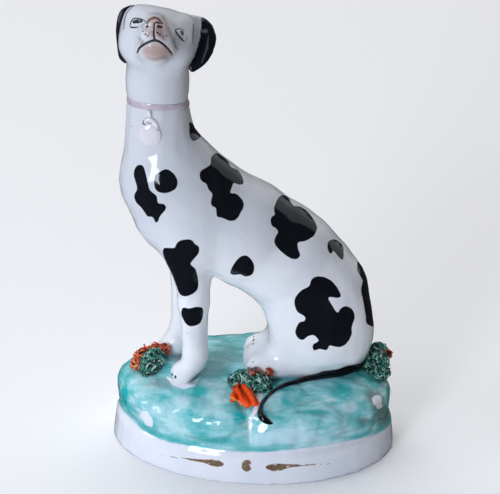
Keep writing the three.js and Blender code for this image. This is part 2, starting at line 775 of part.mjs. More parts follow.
const underCollar = vector(neckTop.x, 0, padlockHeight);
const neckRoom = sculpted(
  grown(bodyField, slipGap),
  underCollar.clone().subScalar(neckRoot.r * 2.5),
  underCollar.clone().addScalar(neckRoot.r * 2.5),
  headCell,
);

// One relief: a rounded lock with its shackle as an arch on top, and a dent for the shackle's opening.
function padlock() {
  const half = padlockWidth / 2;
  const arch = shackleWidth / 2;
  const top = padlockLength / 2;
  const lockTop = top - shackleHeight;
  const outline = new THREE.Shape();
  outline.moveTo(arch, lockTop);
  outline.quadraticCurveTo(half, lockTop, half, lockTop - half * 0.6);
  outline.quadraticCurveTo(half, -top, 0, -top);
  outline.quadraticCurveTo(-half, -top, -half, lockTop - half * 0.6);
  outline.quadraticCurveTo(-half, lockTop, -arch, lockTop);
  outline.lineTo(-arch, top - arch);
  outline.absarc(0, top - arch, arch, Math.PI, 0, true);
  const edge = padlockThickness * 0.3;
  const plate = new THREE.ExtrudeGeometry(outline, {
    depth: padlockThickness * 2 - edge,
    bevelThickness: edge,
    bevelSize: edge,
    bevelOffset: -edge,
    bevelSegments: 1,
    curveSegments: 4,
  });
  const onNeck = neckPlace(padlockHeight);
  plate.translate(0, 0, -padlockThickness).applyMatrix4(onNeck);
  const dent = new THREE.SphereGeometry(1, 8, 6)
    .scale(arch * 0.45, shackleHeight * 0.3, padlockThickness * 0.4)
    .translate(0, lockTop + shackleHeight * 0.4, padlockThickness)
    .applyMatrix4(onNeck);
  return withoutCrumbs(solidFrom(plate).subtract(solidFrom(dent)).subtract(neckRoom));
}

function padlockLink() {
  const top = ground + collarHeight - collarWidth / 2 - slipGap;
  const bottom = padlockHeight + padlockLength / 2 + slipGap;
  const height = (top + bottom) / 2;
  const bead = new THREE.SphereGeometry(1, 10, 8)
    .scale(linkRadius, (top - bottom) / 2, linkRadius)
    .applyMatrix4(neckPlace(height));
  return withoutCrumbs(solidFrom(bead).subtract(neckRoom));
}

// Trimmings on the rockwork, in the frame of the base

const baseRoom = solidFrom(baseOutside(slipGap));
const houndRoomField = placed(grown(bodyField, slipGap), houndPlace);

// The room that the hound takes up near a place on the rockwork, with a joint's thickness to spare.
function houndRoom(place, reach) {
  return sculpted(houndRoomField, place.clone().subScalar(reach), place.clone().addScalar(reach), limbCell);
}

function tailPath(outward) {
  const route = [
    tailStart, tailTurn, tailRun, tailMiddle, tailBend, tailWaist, tailDip, tailHook, tailCurl, tailTip,
  ];
  const points = route.map((point) => {
    const place = vector(point.x, point.y, 0).applyMatrix4(houndPlace);
    return onRock(place.x, place.y, outward);
  });
  return new THREE.CatmullRomCurve3(points);
}

function tail(clearance) {
  const radiusAt = (share) => {
    const taper = share < 0.6
      ? lerp(tailRootRadius, tailWaistRadius, share / 0.6)
      : lerp(tailWaistRadius, tailTipRadius, Math.sin((share - 0.6) * Math.PI * 1.6));
    return taper + clearance;
  };
  return rod(tailPath(tailWaistRadius * 0.7), radiusAt, 24, 6);
}

// A fixed run of even draws between 0 and 1.
function drawsFrom(seed) {
  let state = seed;
  return () => {
    state = (state * 16807) % 2147483647;
    return state / 2147483647;
  };
}

// A pad of clay on the rockwork, set with short shreds that lean outwards, with some clearance all round.
function tuft(place, seed, clearance = 0) {
  const draw = drawsFrom(seed);
  const foot = onRock(place.x, place.y, 0);
  const up = onRock(place.x, place.y, 1).sub(foot);
  const turn = new THREE.Quaternion().setFromUnitVectors(vector(0, 0, 1), up);
  const stand = (point) => point.applyQuaternion(turn).add(foot);
  const padRadius = place.across / 2 - shredRadius;
  const pad = new THREE.SphereGeometry(1, 10, 6).rotateX(Math.PI / 2)
    .scale(padRadius + clearance, padRadius + clearance, padHeight + clearance)
    .applyQuaternion(turn)
    .translate(...foot.toArray());
  const goldenAngle = Math.PI * (3 - Math.sqrt(5));
  return Array.from({ length: place.shreds }, (_, i) => {
    const share = Math.sqrt((i + 0.5) / place.shreds);
    const angle = i * goldenAngle;
    const out = (padRadius - shredRadius) * share;
    const rootHeight = 0.6 * padHeight * Math.sqrt(1 - share * share);
    const root = vector(out * Math.cos(angle), out * Math.sin(angle), rootHeight);
    const lean = degrees(lerp(8, 55, share) + 18 * (draw() - 0.5));
    const swirl = angle + 1.4 * (draw() - 0.5);
    const length = shredLength * lerp(0.75, 1.15, draw());
    const heading = new THREE.Vector3().setFromSphericalCoords(1, lean, Math.PI / 2 - swirl);
    heading.set(heading.x, heading.z, heading.y);
    const bend = vector(-Math.sin(swirl), Math.cos(swirl), 0).multiplyScalar(length * 0.25 * (draw() - 0.5));
    const middle = root.clone().addScaledVector(heading, length * 0.5).add(bend);
    const tip = root.clone().addScaledVector(heading, length + clearance);
    const curve = new THREE.QuadraticBezierCurve3(stand(root), stand(middle), stand(tip));
    return rod(curve, (along) => shredRadius * (1 - 0.35 * along) + 1.5 * clearance, 2, 3);
  }).reduce((joined, shred) => joined.add(shred), solidFrom(pad));
}

// An open petal: two cupped lobes that meet in a crease, with some clearance all round.
function petal(place, clearance = 0) {
  const foot = onRock(place.x, place.y, padHeight * 0.5);
  const lobes = [-1, 1].map((side) => ellipsoid(
    vector(0, (side * place.across) / 4.4, (side + 1) * padHeight * 0.2),
    place.across / 2.2,
    place.across / 3.6,
    padHeight * 0.8,
  ));
  const tilt = new THREE.Matrix4()
    .makeRotationZ(degrees(35))
    .multiply(new THREE.Matrix4().makeRotationY(degrees(-28)))
    .setPosition(foot);
  return sculpted(
    placed(grown(pressed(lobes, padHeight / 2), clearance), tilt),
    foot.clone().subScalar(place.across),
    foot.clone().addScalar(place.across),
    petalCell,
  );
}

// Each trimming is cut back where the base, the hound or an earlier trimming lies.
function laidOn(solid, neighbours) {
  const seated = [baseRoom, ...neighbours].reduce((piece, neighbour) => piece.subtract(neighbour), solid);
  return withoutCrumbs(seated);
}

// The assembly

const figure = new THREE.Group();
const hound = new THREE.Group();
hound.applyMatrix4(houndPlace);
figure.add(hound);

const glazeRoughness = 0.25;
const whiteGlaze = 0xf1eee4;
const blackGlaze = 0x1b1a1c;
const rockGlaze = 0x3f9a7c;
const grassGlaze = 0x2f7d3a;
const orangeGlaze = 0xc9702c;
const redGlaze = 0xa64a2a;
const lustre = 0xc9a392;
const bareClay = 0xd9cbb0;

function addPiece(group, name, solid, colour, roughness = glazeRoughness) {
  const material = new THREE.MeshStandardMaterial({ color: colour, roughness, metalness: 0 });
  const mesh = new THREE.Mesh(geometryFrom(solid), material);
  mesh.name = name;
  group.add(mesh);
}

const [leftBody, rightBody] = bodyHalves();
const [faceHalf, backHalf] = headHalves();
addPiece(figure, 'base_shell', baseShell(), rockGlaze);
addPiece(figure, 'base_closing_slab', baseClosingSlab(), bareClay, 0.8);
addPiece(hound, 'body_left_half', leftBody, whiteGlaze);
addPiece(hound, 'body_right_half', rightBody, whiteGlaze);
addPiece(hound, 'head_face_half', faceHalf, whiteGlaze);
addPiece(hound, 'head_back_half', backHalf, whiteGlaze);
addPiece(hound, 'left_ear', ear(1, leftEarFlare, leftEarSweep), blackGlaze);
addPiece(hound, 'right_ear', ear(-1, rightEarFlare, rightEarSweep), blackGlaze);
addPiece(hound, 'left_foreleg', foreleg(-1), whiteGlaze);
addPiece(hound, 'right_foreleg', foreleg(1), whiteGlaze);
addPiece(hound, 'collar', collar(), lustre);
addPiece(hound, 'padlock', padlock(), whiteGlaze);
addPiece(hound, 'padlock_link', padlockLink(), lustre);

const forefootRoom = houndRoom(onRock(leftTuft.x, leftTuft.y, 0), footReach);
const hindfootRoom = houndRoom(onRock(frontTuft.x, frontTuft.y, 0), footReach);
const rumpRoom = houndRoom(onRock(rearTuft.x, rearTuft.y, 0), rumpReach);
const tailPiece = laidOn(tail(0), [rumpRoom, hindfootRoom]);
const tailRoom = tail(slipGap);
addPiece(figure, 'tail', tailPiece, blackGlaze);
addPiece(figure, 'left_grass_tuft', laidOn(tuft(leftTuft, 11), [forefootRoom]), grassGlaze);
addPiece(
  figure,
  'left_flower_shreds',
  laidOn(tuft(leftFlower, 5), [forefootRoom, tuft(leftTuft, 11, slipGap)]),
  orangeGlaze,
);
const petalRoom = petal(frontPetal, slipGap);
const frontTuftRoom = tuft(frontTuft, 29, slipGap);
addPiece(figure, 'front_flower_petal', laidOn(petal(frontPetal), [tailRoom]), orangeGlaze);
addPiece(
  figure,
  'front_grass_tuft',
  laidOn(tuft(frontTuft, 29), [hindfootRoom, tailRoom, petalRoom]),
  grassGlaze,
);
addPiece(
  figure,
  'front_flower_shreds',
  laidOn(tuft(frontFlower, 7), [hindfootRoom, tailRoom, frontTuftRoom]),
  redGlaze,
);
addPiece(figure, 'rear_grass_tuft', laidOn(tuft(rearTuft, 47), [rumpRoom, tailRoom]), grassGlaze);
addPiece(
  figure,
  'rear_flower_shreds',
  laidOn(tuft(rearFlower, 3), [rumpRoom, tailRoom, tuft(rearTuft, 47, slipGap)]),
  redGlaze,
);

export default figure;
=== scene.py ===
import math

import bmesh
import bpy
import numpy as np
from mathutils import Matrix, Vector, noise
from mathutils.bvhtree import BVHTree


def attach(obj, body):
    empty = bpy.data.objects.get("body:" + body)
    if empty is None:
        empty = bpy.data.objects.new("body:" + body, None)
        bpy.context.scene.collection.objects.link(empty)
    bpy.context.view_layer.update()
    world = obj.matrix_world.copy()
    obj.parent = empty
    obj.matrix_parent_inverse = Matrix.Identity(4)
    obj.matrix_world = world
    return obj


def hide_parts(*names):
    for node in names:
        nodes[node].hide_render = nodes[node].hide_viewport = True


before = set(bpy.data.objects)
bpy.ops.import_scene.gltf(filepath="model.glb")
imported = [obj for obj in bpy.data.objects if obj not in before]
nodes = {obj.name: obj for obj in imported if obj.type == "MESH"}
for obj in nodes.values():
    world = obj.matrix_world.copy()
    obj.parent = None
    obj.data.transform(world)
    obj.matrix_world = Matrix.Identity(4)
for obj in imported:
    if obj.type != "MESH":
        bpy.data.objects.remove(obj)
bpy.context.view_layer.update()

mm = 0.001
scene = bpy.context.scene

# Camera, at the photograph's viewing angle

photoView = {
    "frame": (500, 494),  # pixels
    "focal": 1825.0,  # pixels
    "target": (-2.4, 0.0, 78.2),  # mm
    "distance": 650.0,  # mm
    "azimuth": 3.5,  # degrees
    "elevation": 27.0,
    "roll": 1.0,
}


def viewAxes():
    azimuth, elevation, roll = (math.radians(photoView[key]) for key in ("azimuth", "elevation", "roll"))
    back = np.array([
        math.sin(azimuth) * math.cos(elevation),
        -math.cos(azimuth) * math.cos(elevation),
        math.sin(elevation),
    ])
    level = np.cross(-back, (0, 0, 1))
    level /= np.linalg.norm(level)
    rise = np.cross(level, -back)
    right = level * math.cos(roll) + rise * math.sin(roll)
    up = rise * math.cos(roll) - level * math.sin(roll)
    eye = (np.array(photoView["target"]) + back * photoView["distance"]) * mm
    return eye, right, up, back


eye, viewRight, viewUp, viewBack = viewAxes()
mmPerPixel = photoView["distance"] / photoView["focal"]


def makeCamera():
    data = bpy.data.cameras.new("photo_camera")
    data.sensor_width = 36
    data.lens = data.sensor_width * photoView["focal"] / photoView["frame"][0]
    data.clip_start = 0.01
    camera = bpy.data.objects.new("photo_camera", data)
    axes = Matrix((viewRight, viewUp, viewBack)).transposed().to_4x4()
    camera.matrix_world = Matrix.Translation(eye) @ axes
    scene.collection.objects.link(camera)
    scene.camera = camera


def toPhoto(points):  # metres to pixels of the photograph
    away = np.asarray(points) - eye
    depth = -away @ viewBack
    middle = np.array(photoView["frame"]) / 2
    across = middle[0] + photoView["focal"] * (away @ viewRight) / depth
    down = middle[1] - photoView["focal"] * (away @ viewUp) / depth
    return np.stack([across, down], axis=1)


def sightLine(pixel):  # the direction from the eye through a pixel
    middle = np.array(photoView["frame"]) / 2
    across = (pixel[0] - middle[0]) / photoView["focal"]
    down = (pixel[1] - middle[1]) / photoView["focal"]
    return Vector(viewRight * across - viewUp * down - viewBack).normalized()


makeCamera()
print("camera set")

# Meshes


def coordinates(mesh):
    flat = np.empty(len(mesh.vertices) * 3, np.float32)
    mesh.vertices.foreach_get("co", flat)
    return flat.reshape(-1, 3).astype(float)


def normals(mesh):
    flat = np.empty(len(mesh.vertices) * 3, np.float32)
    mesh.vertex_normals.foreach_get("vector", flat)
    return flat.reshape(-1, 3).astype(float)


def place(mesh, points):
    mesh.vertices.foreach_set("co", np.asarray(points, np.float32).ravel())
    mesh.update()


def keep(mesh, name, values):  # a number for each vertex, for the material to read
    attribute = mesh.attributes.new(name, "FLOAT", "POINT")
    attribute.data.foreach_set("value", np.asarray(values, np.float32))


def treeOf(mesh):
    mesh.calc_loop_triangles()
    return BVHTree.FromPolygons(
        [vertex.co for vertex in mesh.vertices],
        [tuple(triangle.vertices) for triangle in mesh.loop_triangles],
    )


def meshFrom(work, name):
    mesh = bpy.data.meshes.new(name)
    work.to_mesh(mesh)
    work.free()
    return mesh


def cadCopy(names, push=0.0, weld=0.002):  # the solids' own surfaces in one mesh, pushed out by some mm
    work = bmesh.new()
    for name in names:
        work.from_mesh(nodes[name].data)
    bmesh.ops.remove_doubles(work, verts=work.verts, dist=weld * mm)
    work.normal_update()
    for vertex in work.verts:
        vertex.co += vertex.normal * push * mm
    return meshFrom(work, "copy")


def evaluated(mesh, kind, inputs=None, **settings):  # the mesh after one modifier
    carrier = bpy.data.objects.new("carrier", mesh)
    scene.collection.objects.link(carrier)
    modifier = carrier.modifiers.new(kind.lower(), kind)
    for key, value in settings.items():
        setattr(modifier, key, value)
    for key, value in (inputs or {}).items():
        modifier[key] = value
    depsgraph = bpy.context.evaluated_depsgraph_get()
    result = bpy.data.meshes.new_from_object(carrier.evaluated_get(depsgraph))
    bpy.data.objects.remove(carrier)
    return result


def outerSkin(mesh):  # the largest connected skin: a sealed hollow's own skin is dropped
    work = bmesh.new()
    work.from_mesh(mesh)
    work.verts.ensure_lookup_table()
    islands = []
    seen = set()
    for start in work.verts:
        if start in seen:
            continue
        island = [start]
        seen.add(start)
        for vertex in island:
            for edge in vertex.link_edges:
                other = edge.other_vert(vertex)
                if other not in seen:
                    seen.add(other)
                    island.append(other)
        islands.append(island)
    islands.sort(key=lambda island: max(v.co.z for v in island) - min(v.co.z for v in island))
    for island in islands[:-1]:
        bmesh.ops.delete(work, geom=island, context="VERTS")
    work.to_mesh(mesh)
    work.free()


def relax(mesh, rounds, inward=-0.52, outward=0.5, weight=1.0, fills=False):  # smooths without shrinking
    points, facing = coordinates(mesh), normals(mesh)
    edges = np.empty(len(mesh.edges) * 2, np.int32)
    mesh.edges.foreach_get("vertices", edges)
    first, second = edges[0::2], edges[1::2]
    degree = np.bincount(edges, minlength=len(points))
    for factor in (outward, inward) * rounds:
        mean = np.stack([
            np.bincount(first, points[second, axis], len(points))
            + np.bincount(second, points[first, axis], len(points))
            for axis in range(3)
        ], axis=1) / degree[:, None]
        step = mean - points
        if fills:  # hollows rise, and nothing sinks
            step *= (np.einsum("ij,ij->i", step, facing) > 0)[:, None]
        points += np.multiply(weight, factor)[..., None] * step
    place(mesh, points)


def remeshed(mesh, voxel, rounds, **pull):  # evened to cells of some mm, and smoothed
    mesh = evaluated(mesh, "REMESH", mode="VOXEL", voxel_size=voxel * mm)
    relax(mesh, rounds, **pull)
    return mesh


def addPiece(name, mesh, material, replaced):
    mesh.name = name
    mesh.materials.clear()
    mesh.materials.append(material)
    mesh.shade_smooth()
    piece = bpy.data.objects.new(name, mesh)
    scene.collection.objects.link(piece)
    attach(piece, "root")
    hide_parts(*replaced)


def hollowness(mesh, rounds=24):  # how far the surface lies in a hollow, in mm
    points, facing = coordinates(mesh), normals(mesh)
    softened = mesh.copy()
    relax(softened, rounds // 2, inward=0.5)
    depth = np.einsum("ij,ij->i", coordinates(softened) - points, facing) / mm
    bpy.data.meshes.remove(softened)
    return depth


# Small clay forms, pressed together from balls and rolls


def addBall(work, centre, size, turn=(0, 0, 0)):  # centre, half sizes in mm, turn in degrees about x, y and z
    spin = Matrix.Identity(4)
    for angle, axis in zip(turn, "XYZ"):
        spin = Matrix.Rotation(math.radians(angle), 4, axis) @ spin
    shape = Matrix.Translation(Vector(centre) * mm) @ spin @ Matrix.Diagonal((*(Vector(size) * mm), 1))
    bmesh.ops.create_icosphere(work, subdivisions=3, radius=1, matrix=shape)


def joinRings(work, rings):
    for ring, following in zip(rings, rings[1:]):
        for side in range(len(ring)):
            after = (side + 1) % len(ring)
            work.faces.new((ring[side], ring[after], following[after], following[side]))


def addRoll(work, route, radii, sides=12):  # a tapered roll along a route, with closed ends
    line = [Vector(point) * mm for point in route]
    rings = []
    for index, point in enumerate(line):
        ahead = line[min(index + 1, len(line) - 1)] - line[max(index - 1, 0)]
        turn = ahead.to_track_quat("Z", "Y").to_matrix()
        radius = radii[index] * mm
        rings.append([
            work.verts.new(point + turn @ Vector((math.cos(step), math.sin(step), 0)) * radius)
            for step in (2 * math.pi * side / sides for side in range(sides))
        ])
    joinRings(work, rings)
    work.faces.new(rings[0][::-1])
    work.faces.new(rings[-1])


def addCoil(work, line):  # a roll through places with radii, and its rounded ends
    addRoll(work, [point[:3] for point in line], [point[3] for point in line])
    for x, y, z, radius in (line[0], line[-1]):
        addBall(work, (x, y, z), (radius,) * 3)


def pressedTogether(work, voxel, rounds):
    return remeshed(meshFrom(work, "clay"), voxel, rounds)


# Paint shapes, measured in the photograph's pixels and kept as distances in millimetres

paintReach = 5.0  # mm, the largest distance from paint that is kept
outOfReach = 9.0  # mm, added where paint can't be
curveSteps = 6  # points in each stretch of a smooth line


def keepDistance(mesh, name, distance):
    keep(mesh, name, np.clip(distance, -paintReach, paintReach))


def blobs(pixels, circles, soft=0.8):  # a lobed spot: circles (x, y, radius) run together
    total = sum(
        np.exp(-(np.hypot(pixels[:, 0] - x, pixels[:, 1] - y) - radius) / soft)
        for x, y, radius in circles
    )
    return -soft * np.log(np.maximum(total, 1e-30)) * mmPerPixel


def stroke(pixels, route, width):  # a brush line along straight stretches, width in pixels at each point
    best = np.full(len(pixels), 1e3)
    widths = width if isinstance(width, (list, tuple)) else [width] * len(route)
    for (start, end), (thick, thin) in zip(zip(route, route[1:]), zip(widths, widths[1:])):
        start, end = np.array(start, float), np.array(end, float)
        along = np.clip((pixels - start) @ (end - start) / ((end - start) @ (end - start)), 0, 1)
        away = np.linalg.norm(pixels - start - along[:, None] * (end - start), axis=1)
        best = np.minimum(best, away - (thick + (thin - thick) * along) / 2)
    return best * mmPerPixel


def strokes(pixels, lines):  # the nearest of several brush lines
    return np.min([stroke(pixels, *line) for line in lines], axis=0)


def curveThrough(route):  # a smooth line through a few points
    points = [np.array(point, float) for point in route]
    points = [2 * points[0] - points[1], *points, 2 * points[-1] - points[-2]]
    line = []
    for a, b, c, d in zip(points, points[1:], points[2:], points[3:]):
        for t in np.arange(curveSteps) / curveSteps:
            line.append(0.5 * (2 * b + (c - a) * t + (2 * a - 5 * b + 4 * c - d) * t ** 2
                               + (3 * b - a - 3 * c + d) * t ** 3))
    return [*line, points[-2]]


def brushed(route, widths):  # a brush line drawn out to a smooth one
    line = curveThrough(route)
    places = np.linspace(0, len(widths) - 1, len(line))
    return line, np.interp(places, range(len(widths)), widths).tolist()


# How squarely each vertex faces the photograph's eye, or -1 where something within reach hides it
def seenFrom(mesh, tree, clear=0.4, reach=300):  # mm
    points, facing = coordinates(mesh), normals(mesh)
    towards = eye - points
    towards /= np.linalg.norm(towards, axis=1)[:, None]
    squarely = np.einsum("ij,ij->i", facing, towards)
    for index in np.flatnonzero(squarely > 0):
        start = Vector(points[index] + facing[index] * clear * mm)
        if tree.ray_cast(start, Vector(towards[index]), reach * mm)[0] is not None:
            squarely[index] = -1
    return squarely


# Shaders


class Wire:  # a socket that takes part in sums
    def __init__(self, brush, socket):
        self.brush = brush
        self.socket = socket

    def maths(self, operation, first, second):
        return self.brush.node("ShaderNodeMath", {"operation": operation}, {0: first, 1: second})

    def __add__(self, other):
        return self.maths("ADD", self, other)

    def __radd__(self, other):
        return self.maths("ADD", other, self)

    def __sub__(self, other):
        return self.maths("SUBTRACT", self, other)

    def __rsub__(self, other):
        return self.maths("SUBTRACT", other, self)

    def __mul__(self, other):
        return self.maths("MULTIPLY", self, other)

    def __rmul__(self, other):
        return self.maths("MULTIPLY", other, self)


class Brush:  # one material's nodes
    def __init__(self, name):
        self.material = bpy.data.materials.new(name)
        self.material.use_nodes = True
        self.tree = self.material.node_tree
        self.tree.nodes.clear()

    def node(self, kind, settings=None, values=None, output=0):
        made = self.tree.nodes.new(kind)
        for key, value in (settings or {}).items():
            if key == "stops":
                while len(made.color_ramp.elements) < len(value):
                    made.color_ramp.elements.new(0.5)
                for element, (position, colour) in zip(made.color_ramp.elements, value):
                    element.position = position
                    element.color = (*colour, 1)
            else:
                setattr(made, key, value)
        for key, value in (values or {}).items():
            if isinstance(value, Wire):
                self.tree.links.new(value.socket, made.inputs[key])
            else:
                made.inputs[key].default_value = value
        return Wire(self, made.outputs[output]) if made.outputs else None

    def coords(self, stretch=(1, 1, 1)):
        where = self.node("ShaderNodeTexCoord", output="Object")
        return self.node("ShaderNodeMapping", None, {"Vector": where, "Scale": stretch})

    def noise(self, size, detail=3, stretch=(1, 1, 1), rough=0.55):  # size in mm
        values = {"Vector": self.coords(stretch), "Scale": 1 / (size * mm)}
        return self.node("ShaderNodeTexNoise", None, {**values, "Detail": detail, "Roughness": rough})

    def attribute(self, name):
        return self.node("ShaderNodeAttribute", {"attribute_name": name}, output="Fac")

    def edge(self, value, low, high):  # 0 below low, 1 above high, smooth between
        settings = {"interpolation_type": "SMOOTHSTEP"}
        return self.node("ShaderNodeMapRange", settings, {"Value": value, "From Min": low, "From Max": high})

    def blend(self, factor, first, second):
        full = [(*colour, 1) if isinstance(colour, tuple) else colour for colour in (first, second)]
        settings = {"data_type": "RGBA", "clamp_factor": True}
        return self.node("ShaderNodeMix", settings, {0: factor, 6: full[0], 7: full[1]}, 2)

    def bump(self, height, depth):  # depth in mm
        return self.node("ShaderNodeBump", None, {"Height": height, "Strength": 1.0, "Distance": depth * mm})

    def painted(self, name, size, detail, loose, outer, inner):  # 1 inside a shape, with a ragged edge
        ragged = (self.noise(size, detail) - 0.5) * loose
        return self.edge(self.attribute(name) + ragged, outer, inner)

    def crazed(self, colour, size, share, stain):
        return self.blend((1 - self.edge(self.cracks(size), 0.0, 0.012)) * share, colour, stain)

    def cracks(self, size):  # distance from the fine crazing lines, in shares of a cell
        warped = self.noise(size * 1.5, 2)
        values = {"Vector": self.coords(), "Scale": 1 / (size * mm), "Randomness": 1.0}
        lines = self.node("ShaderNodeTexVoronoi", {"feature": "DISTANCE_TO_EDGE"}, values)
        return lines + (warped - 0.5) * 0.02

    def finish(self, values):
        shader = self.node("ShaderNodeBsdfPrincipled", None, values)
        self.node("ShaderNodeOutputMaterial", None, {"Surface": shader})
        return self.material


# White glaze with painted spots, for the hound

glazeTones = {
    "white": (0.655, 0.672, 0.715),
    "thick": (0.90, 0.91, 0.95),  # painted light: the glaze is whiter low on the hound, standing in for the stronger light there
    "pooled": (0.60, 0.64, 0.73),
    "stain": (0.60, 0.54, 0.52),
    "spot": (0.006, 0.007, 0.011),
    "spotThin": (0.011, 0.012, 0.016),
    "flesh": (0.46, 0.31, 0.27),
    # painted shade on the face
    "smoke": (0.27, 0.22, 0.23),
    "ink": (0.006, 0.005, 0.006),
    "inkGrey": (0.05, 0.05, 0.07),
    "nose": (0.11, 0.045, 0.032),
}


def houndGlaze():
    brush = Brush("spotted_white_glaze")
    tone = glazeTones
    drift = brush.noise(26, 3)
    level = brush.node("ShaderNodeSeparateXYZ", None, {0: brush.coords()}, "Z")
    # painted light: whiter below about 65 mm above the floor, fading to the plain white by about 120 mm
    white = brush.blend(brush.edge(level + drift * 0.02, 0.065, 0.12), tone["thick"], tone["white"])
    white = brush.blend(brush.edge(drift, 0.45, 0.75) * 0.4, white, tone["pooled"])
    white = brush.blend(brush.edge(brush.attribute("crease"), 0.1, 0.9) * 0.6, white, tone["pooled"])
    specks = brush.edge(brush.noise(0.9, 1), 0.74, 0.78) * 0.35
    white = brush.blend(specks, white, tone["stain"])
    white = brush.crazed(white, 4.5, 0.12, tone["stain"])
    white = brush.blend(brush.painted("flesh", 2.0, 2, 0.8, 1.9, -2.0) * 0.9, white, tone["flesh"])
    # painted shade on the face, soft grey-brown
    white = brush.blend(brush.painted("smoke", 1.6, 3, 0.9, 0.6, -0.9) * 0.75, white, tone["smoke"])
    white = brush.blend(brush.painted("nose", 1.0, 2, 0.3, 0.35, -0.35) * 0.9, white, tone["nose"])
    spot = brush.painted("spot", 1.4, 2, 0.25, 0.09, -0.09)
    strokes = brush.noise(5.0, 4, (1.0, 1.0, 0.35))
    black = brush.blend(brush.edge(strokes, 0.45, 0.8), tone["spot"], tone["spotThin"])
    paint = brush.blend(spot, white, black)
    paint = brush.blend(brush.painted("faint", 0.8, 2, 0.12, 0.10, -0.16) * 0.65, paint, tone["inkGrey"])
    paint = brush.blend(brush.painted("ink", 0.8, 2, 0.12, 0.08, -0.08) * 0.95, paint, tone["ink"])
    # painted highlights on the nose and the eye
    paint = brush.blend(brush.edge(brush.attribute("glint"), 0.15, -0.2) * 0.85, paint, tone["white"])
    ripple = brush.noise(9.0, 2) * 0.7 + spot * 0.05
    return brush.finish({
        "Base Color": paint,
        "Roughness": 0.06 + spot * 0.02 + brush.edge(brush.noise(3.0, 3), 0.5, 0.8) * 0.04,
        "Normal": brush.bump(ripple, 0.4),
        "Specular IOR Level": 0.45,
    })


# The hound's skin: the pressed halves and the legs, wiped into one glazed surface

houndSkin = {
    "nodes": ("body_left_half", "body_right_half", "left_foreleg", "right_foreleg",
              "head_face_half", "head_back_half"),
    "voxel": 0.8,  # mm
    "push": 0.3,  # closes the joints between the pieces
    "rounds": 24,
    # Balls that fill the hollow's mouth in the seat: middle and half sizes in mm
    "balls": [((24.2, 5.5, 30.7), (13.0, 11.0, 2.0))],
    "feet": [  # middle lines and radii of the hind feet
        [(15.0, -2.6, 33.4, 5.0), (2.6, -6.6, 33.0, 5.2), (1.9, -6.8, 32.8, 5.1)],
        [(14.0, 9.8, 33.4, 5.0), (-0.4, 9.6, 33.0, 5.2), (-1.2, 9.6, 32.8, 5.1)],
        [(-0.6, 9.4, 32.4, 5.0), (-0.4, 1.4, 32.4, 5.2), (1.8, -6.4, 32.4, 5.0)],  # the web between them
        [(8.0, 9.4, 33.0, 5.2), (8.6, 1.4, 33.4, 5.4), (9.4, -3.6, 33.2, 4.2)],
    ],
    "sole": 30.2,  # mm above the floor, below which the feet are pressed down on to the rock
    "soleFade": 1.5,
    "sink": 0.7,
    "wipeFade": 8,  # pixels from the edge of a wiped place to where it is wiped in full
    # Pixels and rounds of wiping: the throat, and between the hind feet
    "wiped": [(108, 54, 204, 98, 45), (230, 320, 300, 374, 150)],
    # Pixels: middle, reach, and how far the clay is drawn to the right and up
    "moulds": [
        ((209, 283), (13, 11), (0, 8.5)),  # arch behind the elbow
        ((156, 336), (11, 9), (3, -6.5)),  # far fore paw
        ((249, 332), (14, 7), (0, -4.5)),  # far hind foot
        ((239, 357), (8, 10), (2.6, 0)),  # toes of the near hind foot
        ((241, 340), (11, 9), (5, -1.5)),  # toes of the far one
        ((256, 173), (18, 14), (-0.8, -1.6)),  # withers
        ((317, 211), (15, 14), (-1.5, -1.8)),  # loins
        ((357, 255), (13, 18), (-2.4, -1.6)),  # rump
        ((326, 374), (13, 6), (0, 3.4)),  # under the haunch, where the tail lies
        ((346, 370), (13, 6), (0, 3.4)),
        ((143, 3), (10, 7), (0, -1.3)),  # brow
        ((181, 9), (9, 7), (0, -2.7)),  # poll
    ],
    "paw": (345, -14.0, -2.0),  # the near fore paw lies below this row, and left and in front of these mm
    # Right-hand edge of the near fore paw in pixels, from the pastern down
    "heel": [(208.6, 350), (208.5, 355), (208, 360), (206, 365),
             (202.5, 370), (197.5, 375), (194, 378), (189, 383)],
    "heelBands": 14,  # rows at which the paw's own edges are found
    "heelFade": (347, 8),  # the row where the heel begins to be drawn in, and rows until it is in full
    "heelWiped": (350, 6, 10),  # the same for wiping it, and rounds
}

